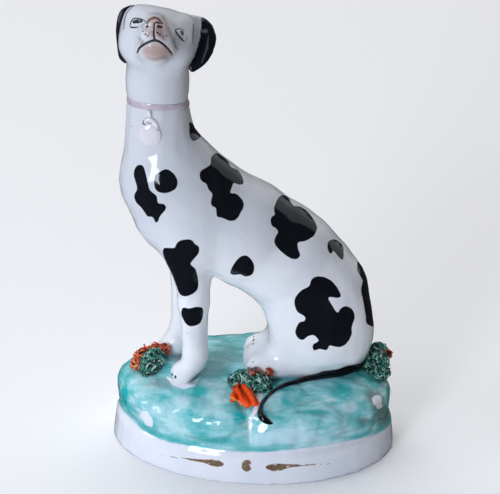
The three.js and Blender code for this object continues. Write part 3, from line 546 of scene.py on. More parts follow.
# Spots that the photograph shows: outlines in its pixels
nearSpots = {
    "breast": [(134, 176), (134.7, 169), (138, 165.2), (143, 166), (146, 174), (148, 183.5), (150, 190),
               (156.5, 196), (158, 203), (164, 204), (165.8, 209), (160.5, 215.5), (158, 221.5),
               (155.5, 222.5), (152.5, 217), (147.5, 216.3), (142, 208.5), (136, 202), (134.3, 195),
               (137.2, 189), (136, 183)],
    "breastSide": [(155.3, 176), (160, 171.6), (166.7, 169.2), (173, 173), (177.3, 180), (176.5, 187.5),
                   (170.8, 191.7), (163, 193.2), (156, 190), (154.2, 183)],
    "shoulder": [(199.7, 176), (201, 171), (206, 167.8), (210.5, 164), (211, 157.5), (215, 153.3),
                 (219, 154), (227.5, 160.8), (231, 167), (237.5, 170), (242, 176.5), (243.5, 183),
                 (240, 184.8), (234, 183), (232, 187), (230.5, 192.8), (236, 193.6), (242, 199.5),
                 (243.7, 206), (240, 214), (236.5, 219.2), (230.5, 221), (222, 217.8), (216.8, 216.3),
                 (216, 208.5), (212, 206), (211, 202), (212.2, 194), (208.5, 189.5), (206.3, 183.8),
                 (202, 181.5)],
    "foreleg": [(163, 254), (164, 248.2), (170, 248), (174.8, 247.4), (177.5, 242.3), (184, 239.6),
                (191.5, 240), (194.8, 243.8), (199, 247), (198.6, 253), (193.5, 259.6), (190.5, 264.2),
                (195.5, 269.3), (198, 279), (197.8, 288.5), (192.5, 294), (185, 296.3), (179.5, 293.6),
                (176, 284.5), (172, 274), (167, 264)],
    "shin": [(181.2, 313), (183, 307.6), (189, 308.4), (196, 307), (202.4, 308), (203, 315), (200.5, 322.5),
             (194.5, 326), (188, 325.6), (183.5, 320)],
    "belly": [(230.4, 273.4), (232.5, 266.5), (238, 258.6), (244.2, 255.3), (250, 258), (254, 265),
              (253.2, 273), (249, 276), (244.8, 276.5), (240.5, 274.3), (235, 275)],
    "back": [(270.6, 221.5), (271.6, 216.8), (274.8, 214.6), (274, 208.5), (277, 200), (282, 195),
             (288, 197.5), (293, 205.2), (300, 206.6), (308, 212), (315, 222), (317, 228.5), (313.5, 236),
             (305, 241), (298, 242.6), (298.2, 249), (300.2, 255), (297, 258.8), (290, 258), (280.5, 251),
             (274.8, 244), (275, 238), (278, 232), (275, 227.6), (272, 226)],
    "rump": [(327.4, 247), (328.2, 241.8), (332.5, 239.4), (338, 241), (343, 247), (343.2, 259.2),
             (339.5, 257.8), (333.4, 250.6), (331.6, 253.8), (329, 252)],
    "haunch": [(294.6, 304.5), (295.4, 297.5), (301, 290.6), (309, 286), (311.4, 279.6), (317, 276.5),
               (327, 278), (335, 284.5), (340.8, 295), (338, 297.8), (328.4, 297.2), (332, 305),
               (337.4, 312.6), (341, 308), (346.5, 306.2), (352.6, 310), (354.8, 317.5), (351.8, 327),
               (351.5, 335), (346.5, 343.5), (339, 347.2), (329.4, 345.6), (327, 350), (319, 349),
               (313.8, 350.4), (312.8, 344.6), (318.6, 341), (314, 335.4), (308, 336.2), (303, 340),
               (297.5, 337.5), (295.4, 331), (299, 322.8), (305, 320.6), (304.6, 316.6), (297.5, 311.8)],
}
# Spots on the outline, which run on round the side
edgeSpots = {
    "rear": [(357, 266), (361, 262), (385, 285), (388, 325), (368.4, 325), (365.4, 314), (363, 300),
             (361, 289), (362.6, 281), (358.6, 273)],
    "nape": [(190.2, 122), (201, 132), (201, 136), (197.5, 139.5), (193.3, 141), (190.5, 138), (189.4, 133),
             (189.4, 127)],
}
spotFlecks = [(131.5, 126.4, 0.8), (309.3, 258.8, 0.6), (177, 303, 0.7)]  # pixels: place and radius
# Spots on the far side, in mm along and up the hound
farSpots = {
    "shoulder": [(-19, 95, 5.2), (-14, 90, 5.5), (-19, 87, 4.6), (-12, 84, 3.6)],
    "flank": [(6, 83, 5.6), (11, 77, 6.2), (4, 75, 4.4), (13, 70, 3.2)],
    "haunch": [(24, 61, 6.2), (31, 56, 6.0), (23, 52, 5.2), (29, 48, 4.6), (35, 49, 3.4)],
    "elbow": [(-29, 61, 4.4), (-26, 55, 4.2), (-28, 49, 3.0)],
    "neck": [(-37, 122, 3.2), (-34, 118, 3.4)],
    "rump": [(33, 75, 3.2), (36, 70, 3.6)],
    "chest": [(-40, 102, 4.0), (-38, 96, 3.4)],
    "heel": [(8, 45, 3.2), (12, 42, 2.4)],
}


def outlined(pixels, outline, reach=14):  # distance from a closed outline in mm, less than 0 inside
    closed = [*outline, outline[0]]
    line = np.array(curveThrough([outline[-1], *closed, outline[1]])[curveSteps:-curveSteps - 1])
    near = np.flatnonzero(((pixels > line.min(0) - reach) & (pixels < line.max(0) + reach)).all(axis=1))
    result = np.full(len(pixels), reach * mmPerPixel)
    best = np.full(len(near), np.inf)
    crossings = np.zeros(len(near), int)
    here = pixels[near]
    for start, end in zip(line, np.roll(line, -1, axis=0)):
        side = end - start
        along = np.clip((here - start) @ side / max(side @ side, 1e-9), 0, 1)
        best = np.minimum(best, np.linalg.norm(here - start - along[:, None] * side, axis=1))
        spans = (start[1] > here[:, 1]) != (end[1] > here[:, 1])
        meets = start[0] + (here[:, 1] - start[1]) * side[0] / (side[1] if side[1] else 1e-9)
        crossings += spans & (here[:, 0] < meets)
    result[near] = np.where(crossings % 2, -best, best) * mmPerPixel
    return result


def evened(values, rounds):  # a row of values with its jumps smoothed
    for step in range(rounds):
        wide = np.pad(values, 1, "edge")
        values = (wide[:-2] + 2 * wide[1:-1] + wide[2:]) / 4
    return values


def sidesOf(across, rows, bands, even=0, half=3):  # a shape's left and right edge at each row, in pixels
    picks = [across[np.abs(rows - band) < half] for band in bands]
    return [np.interp(rows, bands, evened([side(pick) for pick in picks], even)) for side in (np.min, np.max)]


def roundHeel(mesh):  # draws the near fore paw's heel in, as the photograph shows it
    points = coordinates(mesh)
    pixels = toPhoto(points)
    row, x, y = houndSkin["paw"]
    paw = np.flatnonzero((pixels[:, 1] > row) & (points[:, 0] < x * mm) & (points[:, 1] < y * mm))
    across, rows = pixels[paw].T
    left, right = sidesOf(across, rows, np.linspace(rows.min(), rows.max(), houndSkin["heelBands"]))
    heel, heelRows = zip(*houndSkin["heel"])
    share = np.clip((across - left) / (right - left), 0, 1)
    begin, fade = houndSkin["heelFade"]
    move = (np.interp(rows, heelRows, heel) - right) * share * np.clip((rows - begin) / fade, 0, 1)
    points[paw] += np.outer(move, viewRight) * mmPerPixel * mm
    place(mesh, points)
    begin, fade, rounds = houndSkin["heelWiped"]
    near = np.zeros(len(points))
    near[paw] = np.clip((rows - begin) / fade, 0, 1)
    relax(mesh, rounds, weight=near)


def fusedHound():
    work = bmesh.new()
    work.from_mesh(cadCopy(houndSkin["nodes"], houndSkin["push"]))
    for centre, size in houndSkin["balls"]:
        addBall(work, centre, size)
    for foot in houndSkin["feet"]:
        addCoil(work, foot)
    mesh = evaluated(meshFrom(work, "hound"), "REMESH", mode="VOXEL", voxel_size=houndSkin["voxel"] * mm)
    outerSkin(mesh)
    relax(mesh, houndSkin["rounds"])
    pixels = toPhoto(coordinates(mesh))
    for left, top, right, bottom, rounds in houndSkin["wiped"]:
        within = np.minimum(
            np.minimum(pixels[:, 0] - left, right - pixels[:, 0]),
            np.minimum(pixels[:, 1] - top, bottom - pixels[:, 1]),
        )
        wipe = np.clip(within / houndSkin["wipeFade"], 0, 1)
        relax(mesh, rounds, inward=0.5, weight=wipe, fills=True)
    roundHeel(mesh)
    points = coordinates(mesh)
    pixels = toPhoto(points)
    for middle, reach, (right, up) in houndSkin["moulds"]:
        near = np.exp(-(((pixels - middle) / reach) ** 2).sum(axis=1))
        points += np.outer(near, viewRight * right + viewUp * up) * mmPerPixel * mm
    low = np.clip((houndSkin["sole"] - points[:, 2] / mm) / houndSkin["soleFade"], 0, 1)
    points[:, 2] -= low * houndSkin["sink"] * mm
    place(mesh, points)
    return mesh


collarBand = {
    "node": "collar",
    "drop": 2.2,  # mm that the strip hangs under the middle of its solid, at the neck's axis
    "slope": (-0.042, -0.166),  # rise for each mm to the right and to the back
    "clear": 25.0,  # mm from the neck's axis, well outside the skin
    "half": 1.2,  # half its height
    "proud": 0.3,  # its thickness outside the skin, and inside
    "sunk": 0.5,
    "steps": 120,
    "sides": 12,
}


def collarPlane():  # the middle of the collar in metres, and its rise to the right and to the back
    points = coordinates(nodes[collarBand["node"]].data)
    middle = (points.min(0) + points.max(0)) / 2
    return Vector(middle) - Vector((0, 0, collarBand["drop"] * mm)), collarBand["slope"]


def splitAtCollar(mesh):  # the parts below and above the collar, each closed by a cap
    middle, (rightward, backward) = collarPlane()
    upright = Vector((-rightward, -backward, 1))
    halves = []
    for below in (True, False):
        work = bmesh.new()
        work.from_mesh(mesh)
        geometry = [*work.verts, *work.edges, *work.faces]
        bmesh.ops.bisect_plane(work, geom=geometry, plane_co=middle, plane_no=upright,
                               clear_outer=below, clear_inner=not below)
        bmesh.ops.holes_fill(work, edges=[edge for edge in work.edges if edge.is_boundary], sides=0)
        halves.append(meshFrom(work, "half"))
    return halves


# The turn of the skin at which spots end, and how fast they end there. Edge spots also end where it faces left
spotEnds = {"near": (0.06, 30), "edge": (0.55, 30), "far": (0.25, 20), "left": -0.2}


def paintSpots(mesh, tree):
    points, facing = coordinates(mesh), normals(mesh)
    pixels = toPhoto(points)
    squarely = seenFrom(mesh, tree)
    near = np.min([outlined(pixels, outline) for outline in nearSpots.values()], axis=0)
    bound, fast = spotEnds["near"]
    near = np.minimum(near, blobs(pixels, spotFlecks, 0.2)) + np.maximum(bound - squarely, 0) * fast
    edge = np.min([outlined(pixels, outline) for outline in edgeSpots.values()], axis=0)
    bound, fast = spotEnds["edge"]
    edge += np.maximum(-(facing @ viewBack) - bound, 0) * fast
    edge += (facing[:, 0] < spotEnds["left"]) * outOfReach
    far = np.min([blobs(points[:, ::2] / mm, circles) for circles in farSpots.values()], axis=0) / mmPerPixel
    bound, fast = spotEnds["far"]
    far += np.maximum(bound - facing[:, 1], 0) * fast + (squarely > 0) * outOfReach
    keepDistance(mesh, "spot", np.minimum(np.minimum(near, edge), far))


# Painted and modelled face, in pixels of the photograph

houndFace = {
    "box": (117, 2, 197, 63),  # the mesh is halved twice here, and once more near the brush lines
    "nearLines": 0.42,  # mm
    "turned": -0.1,  # the least turn towards the viewer that is halved, and that is modelled
    "shown": 0.05,
    "hidden": (0.02, 30),  # paint ends where the skin turns past this, and how fast
    "ink": [  # brush lines: route and width at each point
        ([(137.4, 52.6), (139.6, 47.8), (145.2, 43.8), (150.4, 41.4), (154.9, 40.3), (158.9, 41.4),
          (163.4, 44.2), (167.8, 48.6), (172, 53.8)], [1.7, 2.4, 2.5, 2.5, 2.9, 2.5, 2.3, 2.2, 1.4]),
        ([(154.4, 24), (154, 29), (153.8, 34.5), (154.9, 40)], [1.6, 1.8, 2.0, 2.2]),
        ([(153.8, 24.4), (156, 22.4), (159, 23)], [1.4, 2.0, 1.6]),
        ([(158, 26.4), (161.4, 27)], [3.0, 2.8]),
        ([(146.8, 26.8), (148.4, 25.6)], [2.2, 1.8]),
        ([(130.2, 24.8), (131.6, 20.8), (134.5, 18.4), (139, 18.6), (143, 19.6), (145.4, 21.6)],
         [1.0, 1.2, 1.3, 1.2, 1.0, 0.7]),
        ([(134, 22), (137.4, 21.4), (141.4, 21)], [3.2, 4.2, 3.0]),
        ([(130.2, 26.2), (131.5, 27.4), (135, 27.4), (138.5, 27)], [1.1, 1.5, 1.5, 0.7]),
        ([(175.4, 30.2), (177, 33.4), (179.6, 36.8), (182.2, 39.8), (184.2, 41.4)],
         [1.1, 1.9, 2.0, 1.6, 0.8]),
        ([(175.4, 30.2), (177.4, 29), (181, 28.9), (184.5, 30.6)], [0.9, 1.2, 1.0, 0.6]),
        ([(181.8, 31.8), (182.6, 34)], [3.0, 2.8]),
        ([(142.6, 31), (143, 31.4)], [1.2, 1.2]),
        ([(145.2, 34.2), (145.8, 34.6)], [1.5, 1.4]),
        ([(147.6, 36), (148.4, 35.6)], [1.5, 1.3]),
        ([(149.2, 33), (149.6, 33.4)], [1.1, 1.1]),
        ([(157, 32.6), (158.2, 33.2)], [1.7, 1.6]),
        ([(159.2, 35), (160.6, 34.4)], [1.6, 1.4]),
        ([(162.8, 36.4), (163.3, 36.7)], [1.1, 1.0]),
        ([(166.4, 35.4), (167, 36)], [1.4, 1.2]),
    ],
    "faint": [  # thin grey lines
        ([(134.2, 5.5), (129, 10.2), (126.2, 14.5), (124.4, 21), (123.6, 29)], [1.2, 1.2, 1.4, 1.7, 1.2]),
        ([(141.5, 25.6), (144, 24), (146.2, 21.4)], [0.8, 1.2, 0.8]),
        ([(186.8, 35.5), (187, 40), (184.4, 41.6)], [0.7, 1.0, 0.8]),
        ([(140, 44.6), (144, 39.6)], [1.3, 0.8]),
        ([(137.6, 44), (141.4, 38)], [1.0, 0.5]),
        ([(174, 40.7), (175.3, 46.5), (177.5, 51)], [0.7, 1.0, 0.5]),
        ([(193.5, 24), (193.2, 34), (192.7, 43.6)], [1.4, 1.9, 1.0]),
    ],
    "flesh": [(156, 51.5, 8.5), (148, 51, 6), (164, 52, 7), (160, 31, 8), (153, 30, 6), (154.5, 21, 5)],
    "smoke": [  # painted shade: soft grey-brown, right of the muzzle, under the chin and beside the eye
        ([(162.6, 17), (168.5, 30), (176.5, 48)], [2.6, 6.0, 2.6]),
        ([(158, 30), (164, 39)], [7.0, 5.0]),
        ([(146, 57), (154, 59.6), (166, 57.5)], [1.0, 2.6, 4.0]),
        ([(139, 37.5), (142.5, 43)], [2.4, 3.0]),
        ([(141.6, 27), (146, 30)], [2.0, 2.4]),
    ],
    "nose": ([(147.2, 23), (149.6, 19.4), (154, 17.6), (158.4, 18.8), (162, 23.5)],
             [2.4, 2.6, 2.8, 2.8, 2.6]),
    "glint": [(149.6, 24.6, 1.7), (152, 29.4, 1.2), (139.6, 20.6, 0.7)],  # painted highlights in the white glaze tone: place and radius
    # Modelled swellings and hollows: place, radius in mm and height in mm
    "swells": [((154.5, 22.5), 2.6, 0.5), ((146.5, 38), 3.0, 0.45), ((164, 40), 3.0, 0.45),
               ((156, 50), 3.6, 0.45), ((137.5, 14.5), 3.0, 0.45), ((181, 24.5), 2.8, 0.45),
               ((137.6, 22.6), 1.7, 0.35), ((182, 34.5), 1.6, 0.35), ((160.2, 26.6), 0.7, -0.5),
               ((147.6, 26.2), 0.6, -0.45)],
    # Outline of the raised muzzle
    "muzzle": [(148, 17), (154.5, 14.5), (161, 17), (167, 28), (175, 45), (173, 54), (164, 60), (154, 62),
               (143, 59), (137, 52), (139.5, 42), (144, 30)],
    "muzzleRise": 0.8,  # mm
    "muzzleSoft": 3.6,
    "grooves": [(0, 0.45, -0.4), (1, 0.4, -0.22)],  # which ink line, half width in mm, height in mm
}


def refined(mesh, pick, rounds=3):  # halves the picked faces' edges and smooths what is new
    work = bmesh.new()
    work.from_mesh(mesh)
    work.faces.ensure_lookup_table()
    edges = {edge for face, chosen in zip(work.faces, pick) if chosen for edge in face.edges}
    bmesh.ops.subdivide_edges(work, edges=list(edges), cuts=1, use_grid_fill=True)
    work.to_mesh(mesh)
    work.free()
    relax(mesh, rounds)


def facePixels(mesh):  # the middles of its faces, in the photograph
    return toPhoto(np.array([polygon.center for polygon in mesh.polygons]))


def nearLines(mesh):
    pixels = facePixels(mesh)
    lines = [(curveThrough(line[0]), 0.0) for line in houndFace["ink"] + houndFace["faint"]]
    return strokes(pixels, lines) < houndFace["nearLines"]


def inFace(mesh):
    pixels = facePixels(mesh)
    left, top, right, bottom = houndFace["box"]
    inside = ((pixels > (left, top)) & (pixels < (right, bottom))).all(axis=1)
    facing = np.array([polygon.normal for polygon in mesh.polygons])
    return inside & (facing @ viewBack > houndFace["turned"])


def modelFace(mesh, tree):
    refined(mesh, inFace(mesh))
    refined(mesh, inFace(mesh))
    refined(mesh, inFace(mesh) & nearLines(mesh))
    points, facing = coordinates(mesh), normals(mesh)
    pixels = toPhoto(points)
    shown = seenFrom(mesh, tree) > houndFace["shown"]
    height = np.zeros(len(points))
    for (x, y), radius, rise in houndFace["swells"]:
        away = np.hypot(pixels[:, 0] - x, pixels[:, 1] - y) * mmPerPixel
        height += rise * np.exp(-(away / radius) ** 2)
    inside = np.clip(0.5 - outlined(pixels, houndFace["muzzle"]) / houndFace["muzzleSoft"], 0, 1)
    height += houndFace["muzzleRise"] * inside * inside * (3 - 2 * inside)
    for index, half, rise in houndFace["grooves"]:
        away = stroke(pixels, houndFace["ink"][index][0], 0.0)
        height += rise * np.exp(-(away / half) ** 2)
    place(mesh, points + facing * (height * shown * mm)[:, None])


def paintFace(mesh, tree):
    pixels = toPhoto(coordinates(mesh))
    bound, fast = houndFace["hidden"]
    hidden = np.maximum(bound - seenFrom(mesh, tree), 0) * fast
    shapes = {
        "ink": strokes(pixels, [brushed(*line) for line in houndFace["ink"]]),
        "faint": strokes(pixels, [brushed(*line) for line in houndFace["faint"]]),
        "flesh": blobs(pixels, houndFace["flesh"], 2.0),
        "smoke": strokes(pixels, houndFace["smoke"]),
        "nose": stroke(pixels, *houndFace["nose"]),
        "glint": blobs(pixels, houndFace["glint"], 0.2),
    }
    for name, distance in shapes.items():
        keepDistance(mesh, name, distance + hidden)


# Toes and other small brush marks on the body, in pixels
bodyMarks = [
    ([(253.9, 336.6), (253.3, 337.4)], [1.3, 1.2]),
    ([(254.2, 339.4), (252.8, 340.8)], [1.4, 1.3]),
    ([(253.4, 343.4), (252.2, 344.4)], [1.3, 1.2]),
    ([(253.4, 361.4), (251.8, 362.6)], [1.3, 1.1]),
    ([(171.8, 374), (172.2, 375.2)], [2.2, 2.2]),
    ([(175.2, 376.4), (175.6, 377.4)], [2.5, 2.5]),
    ([(186.4, 332), (188, 334.4)], [0.6, 0.6]),
]


def makeHound():
    fused = fusedHound()
    tree = treeOf(fused)
    body, head = splitAtCollar(fused)
    modelFace(head, tree)
    paintFace(head, tree)
    pixels = toPhoto(coordinates(body))
    hidden = np.maximum(-seenFrom(body, tree), 0) * houndFace["hidden"][1]
    keepDistance(body, "ink", strokes(pixels, bodyMarks) + hidden)
    for name in ("faint", "flesh", "smoke", "nose", "glint"):
        keep(body, name, np.full(len(body.vertices), paintReach))
    glaze = houndGlaze()
    for mesh in (body, head):
        paintSpots(mesh, tree)
        keep(mesh, "crease", hollowness(mesh))
    addPiece("hound_body", body, glaze, houndSkin["nodes"][:4])
    addPiece("hound_head", head, glaze, houndSkin["nodes"][4:])
    print("hound", len(body.vertices), len(head.vertices))
    return tree


houndTree = makeHound()

# Rockwork base with its plinth

rockwork = {
    "seed": 7,  # of the wash's unevenness
    "voxel": 0.85,
    "rounds": 40,
    "lumpSize": 11.0,  # mm
    "lumpHeight": 0.9,
    "lumpGrain": (0.8, 2.2, 3),  # roughness, step and number of the finer lumps in them
    "plinthTop": 10.7,  # mm above the floor, where the lumps begin
    "lumpFade": 5.0,  # mm until they are in full
    "outward": ((1, 2, 0), (0, 0, 0.02)),  # the way out from the oval: shares of a place, and a rise
    "frontTurn": -0.1,  # the gilt ends where the plinth turns away
    "wanderSize": 9.0,  # mm, of the wash's unevenness
    "wander": 2.5,  # pixels
    "frontFade": 5,  # how fast the front's wash and its pools take over, where the skin turns to the viewer
    "poolFade": 6,
    # Lower edge of the wash behind: bearing in degrees round the oval, -90 in front, and height
    "washEdge": [(-170, 14.5), (-150, 13.5), (-90, 12.8), (-30, 12.5), (-13, 11.5), (10, 10.7), (35, 13.2),
                 (60, 11.8), (85, 13.6), (110, 11.6), (135, 12.8), (160, 13.4)],
    # and in front, in pixels
    "washLine": [(108, 388), (113, 396), (120, 405.5), (131.7, 420.5), (150, 435), (166.7, 441.7),
                 (190, 446.7), (213, 450), (240, 452.4), (273, 451.7), (313, 447.3), (346.7, 441.7),
                 (376.7, 434.5), (388, 426.7), (395, 414)],
    # Pools of colour in pixels: middle, half width, half height and strength
    "pools": {
        "deep": [(124, 396, 5, 12, 1.0), (136, 408, 8, 5, 0.4), (162, 398, 11, 5, 0.5),
                 (198, 391, 10, 6, 1.0), (240, 418, 7, 9, 1.0), (220, 441, 14, 4, 0.4),
                 (286, 399, 8, 7, 0.8), (300, 389, 14, 4, 0.3), (341, 391, 10, 8, 1.0),
                 (315, 412, 22, 3, 0.5), (335, 402, 8, 3, 0.5)],
        # grey: grey-green wash on the plateau, and painted shadow under the legs and between the far fore paw
        # and the near leg
        "grey": [(226, 355, 24, 14, 0.8), (207, 370, 18, 10, 0.9), (160, 384, 18, 7, 1.0),
                 (177, 354, 6, 10, 1.0), (320, 414, 14, 4, 0.5), (198, 391, 9, 5, 0.5),
                 (300, 412, 16, 4, 0.4)],
        # dark grey-green: on the right-hand rock, and painted shadow behind the near fore paw
        "moss": [(374, 397, 9, 9, 0.9), (383, 414, 8, 12, 1.0), (365, 421, 9, 6, 0.8), (178, 352, 4, 9, 0.6)],
        "pale": [(141, 395, 7, 7, 0.5), (181, 401, 9, 8, 1.0), (213, 411, 14, 7, 0.5),
                 (158, 410, 14, 8, 0.6), (225, 434, 14, 5, 0.25), (190, 420, 16, 4, 0.3),
                 (262, 440, 16, 8, 0.9), (288, 431, 20, 6, 0.8), (305, 441, 28, 6, 1.0),
                 (350, 406, 9, 6, 1.0), (330, 419, 12, 4, 0.7), (345, 432, 20, 5, 0.7),
                 (268, 404, 8, 9, 0.6), (316, 402, 8, 4, 0.6)],
    },
    # Bare white glaze in pixels: place and radius
    "bare": [(144.5, 415, 4.4), (148, 420, 4.6), (150.5, 424, 2.6), (377, 400, 5), (379, 406, 3),
             (262, 405, 1.8)],
    "bareLines": [
        ([(167, 377), (174, 383), (184, 385.6), (194, 383.4), (200, 377.5)], [2.0, 5.0, 5.0, 4.4, 1.4]),
        # white streak down the front cleft: bare glaze, partly a painted highlight
        ([(258, 402), (255, 410), (251, 418), (249.4, 428), (250.6, 443)], [3.4, 4.6, 3.6, 3.0, 1.6]),
        ([(256, 387), (260, 393), (258.6, 401)], [4.0, 6.0, 3.6]),
    ],
    # Brush veins of darker wash in pixels, and grooves between the lumps: route, half width and depth in mm
    "veins": [([(272, 413), (285, 408), (302, 403), (322, 400), (335, 406), (345, 415)],
               [1.5, 3.0, 3.0, 3.5, 3.0, 1.5]),
              ([(296, 411), (312, 413), (330, 418)], [1.5, 3.5, 1.5]),
              ([(186, 436), (205, 441), (226, 440), (237, 432)], [2.0, 4.0, 4.5, 2.0]),
              ([(128, 412), (140, 425), (156, 433)], [2.0, 3.0, 2.0]),
              ([(330, 436), (352, 431), (372, 424)], [1.5, 3.0, 4.0])],
    "grooves": [([(243, 405), (246, 413), (249, 428), (249, 446)], 2.2, 0.9),
                ([(276, 410), (300, 404), (326, 401), (346, 412), (360, 421)], 2.4, 0.6),
                ([(186, 392), (204, 397), (226, 406)], 2.6, 0.5)],
    "halfSize": (52.5, 34.5),  # mm
    # Gilt brush marks on the front of the plinth, in pixels: route and width at each point
    "giltMarks": [
        ([(222, 464.2), (218, 463.6), (211, 462.5), (205, 461.3), (185, 458.6), (160, 455.6)],
         [4.0, 6.8, 6.4, 3.4, 1.5, 0.6]),
        ([(267.5, 467.2), (273, 467.4), (281, 467), (288, 466), (305, 465), (335, 463.6)],
         [4.0, 7.4, 6.8, 3.4, 1.5, 0.6]),
        ([(246.8, 464.8), (246.8, 466.6)], [10.2, 10.2]),
    ],
    "giltNotch": ([(254, 466.4), (249.6, 466)], [4.2, 1.6]),
}


def washHeight(points, pixels, squarely):
    along, across = (points[:, :2] / rockwork["halfSize"]).T
    sweep = np.degrees(np.arctan2(across, along))
    bearings, heights = zip(*rockwork["washEdge"])
    behind = points[:, 2] / mm - np.interp(sweep, bearings, heights, period=360)
    across, down = np.array(curveThrough(rockwork["washLine"])).T
    before = (np.interp(pixels[:, 0], across, down) - pixels[:, 1]) * mmPerPixel
    front = np.clip(squarely * rockwork["frontFade"], 0, 1)
    return before * front + behind * (1 - front)


def pooled(pixels, spots):  # soft pools run together, from 0 to 1
    total = sum(
        strength * np.exp(-((pixels[:, 0] - x) / wide) ** 2 - ((pixels[:, 1] - y) / high) ** 2)
        for x, y, wide, high, strength in spots
    )
    return np.clip(total, 0, 1)


def rockGlaze():
    brush = Brush("rockwork_wash")
    height = brush.attribute("wash") + (brush.noise(5.0, 3) - 0.5) * 1.1
    washed = brush.edge(height, -0.3, 0.5)
    broad = brush.noise(15, 4, (1.0, 1.4, 1.6), 0.6)
    streaks = brush.noise(5, 4, (0.35, 0.8, 1.6), 0.6)
    wash = brush.node("ShaderNodeValToRGB", {"stops": [
        (0.40, (0.54, 0.83, 0.87)), (0.53, (0.22, 0.63, 0.66)), (0.64, (0.04, 0.46, 0.47)),
    ]}, {"Fac": broad * 0.6 + streaks * 0.45})
    loose = (streaks - 0.5) * 0.85
    # the grey and the dark grey-green pools are partly painted shadow
    for name, full, share, tone in (
        ("pale", 0.9, 0.85, (0.62, 0.86, 0.95)),
        ("grey", 0.9, 0.85, (0.22, 0.38, 0.40)),
        ("deep", 0.75, 0.95, (0.010, 0.47, 0.49)),
        ("moss", 0.9, 0.9, (0.13, 0.22, 0.20)),
    ):
        wash = brush.blend(brush.edge(brush.attribute(name) + loose, 0.1, full) * share, wash, tone)
    fine = brush.noise(1.7, 4, (0.5, 1.0, 1.3), 0.65)
    vein = brush.edge(brush.attribute("vein") + (fine - 0.5) * 3.0, 0.9, -0.9)
    wash = brush.blend(vein * 0.55, wash, (0.05, 0.33, 0.31))
    wash = brush.blend(brush.edge(fine, 0.56, 0.74) * 0.35, wash, (0.05, 0.35, 0.35))
    wash = brush.blend(brush.edge(fine, 0.44, 0.28) * 0.4, wash, (0.64, 0.84, 0.90))
    rim = brush.edge(height, 0.2, 1.0) * (1 - brush.edge(height, 1.0, 3.0))
    wash = brush.blend(rim * brush.edge(streaks, 0.35, 0.6) * 0.5, wash, (0.06, 0.46, 0.46))
    wash = brush.blend(brush.edge(brush.attribute("crease"), 0.15, 1.0) * 0.5, wash, (0.02, 0.30, 0.31))
    # dark flecks where the grey pools lie, which are partly painted shadow
    darkFlecks = brush.edge(brush.noise(1.3, 3), 0.60, 0.72) * brush.edge(brush.attribute("grey"), 0.2, 0.8) * 0.45
    wash = brush.blend(darkFlecks, wash, (0.07, 0.10, 0.10))
    bare = brush.painted("bare", 2.2, 3, 0.9, 0.2, -0.2)
    shadow = brush.edge(brush.noise(20, 2), 0.4, 0.7) * 0.4
    white = brush.blend(shadow, (0.90, 0.92, 0.98), (0.76, 0.80, 0.90))
    specks = brush.edge(brush.noise(0.8, 1), 0.73, 0.77) * 0.4
    white = brush.blend(specks, white, (0.45, 0.42, 0.42))
    colour = brush.crazed(brush.blend(washed * (1 - bare), white, wash), 3.6, 0.10, (0.40, 0.38, 0.36))
    gilt = brush.painted("gilt", 1.2, 3, 0.35, 0.08, -0.12)
    worn = gilt * brush.edge(brush.noise(0.9, 3, (0.4, 1, 1)), 0.30, 0.42)
    gold = brush.blend(brush.noise(2.0, 3), (0.13, 0.075, 0.045), (0.52, 0.34, 0.19))
    colour = brush.blend(worn, colour, gold)
    ripple = brush.noise(8.0, 2) * 0.8 + bare * 0.15
    return brush.finish({
        "Base Color": colour,
        "Metallic": worn * 0.35,
        "Roughness": 0.11 + worn * 0.22 + brush.edge(broad, 0.5, 0.8) * 0.06,
        "Normal": brush.bump(ripple, 0.4),
        "Coat Weight": 0.5,
        "Coat Roughness": 0.05,
    })


def makeBase():
    mesh = remeshed(cadCopy(["base_shell"]), rockwork["voxel"], rockwork["rounds"])
    points, facing = coordinates(mesh), normals(mesh)
    lift = np.clip((points[:, 2] / mm - rockwork["plinthTop"]) / rockwork["lumpFade"], 0, 1)
    shares, rise = rockwork["outward"]
    outside = np.einsum("ij,ij->i", facing, points * shares + rise) > 0
    size, grain = rockwork["lumpSize"] * mm, rockwork["lumpGrain"]
    lumps = np.array([noise.fractal(Vector(point) / size, *grain) for point in points])
    points += facing * (lumps * lift * outside * rockwork["lumpHeight"] * mm)[:, None]
    pixels = toPhoto(points)
    towards = eye - points
    squarely = np.einsum("ij,ij->i", normals(mesh), towards / np.linalg.norm(towards, axis=1)[:, None])
    for route, half, depth in rockwork["grooves"]:
        across = stroke(pixels, curveThrough(route), 0.0) / half
        points -= facing * (np.exp(-across ** 2) * depth * lift * (squarely > 0) * mm)[:, None]
    points[:, 2] = np.maximum(points[:, 2], 0)
    place(mesh, points)
    gilt = np.maximum(strokes(pixels, rockwork["giltMarks"]), -stroke(pixels, *rockwork["giltNotch"]))
    keepDistance(mesh, "gilt", gilt + (facing[:, 1] >= rockwork["frontTurn"]) * outOfReach)
    keep(mesh, "wash", np.clip(washHeight(points, pixels, squarely), -outOfReach, outOfReach))
    noise.seed_set(rockwork["seed"])
    size = rockwork["wanderSize"] * mm
    wander = np.array([noise.noise_vector(Vector(point) / size)[:2] for point in points]) * rockwork["wander"]
    shown = np.clip(squarely * rockwork["poolFade"], 0, 1)
    for name, spots in rockwork["pools"].items():
        keep(mesh, name, pooled(pixels + wander, spots) * shown)
    hidden = (1 - shown) * outOfReach
    keepDistance(mesh, "vein", strokes(pixels + wander, rockwork["veins"]) + hidden)
    bare = np.minimum(strokes(pixels, rockwork["bareLines"]), blobs(pixels, rockwork["bare"], 1.0))
    keepDistance(mesh, "bare", bare + hidden)
    keep(mesh, "crease", hollowness(mesh))
    addPiece("rockwork_base", mesh, rockGlaze(), ["base_shell"])
    print("base", len(mesh.vertices))
    return mesh


rockTree = treeOf(makeBase())
aboveRock = 60  # mm


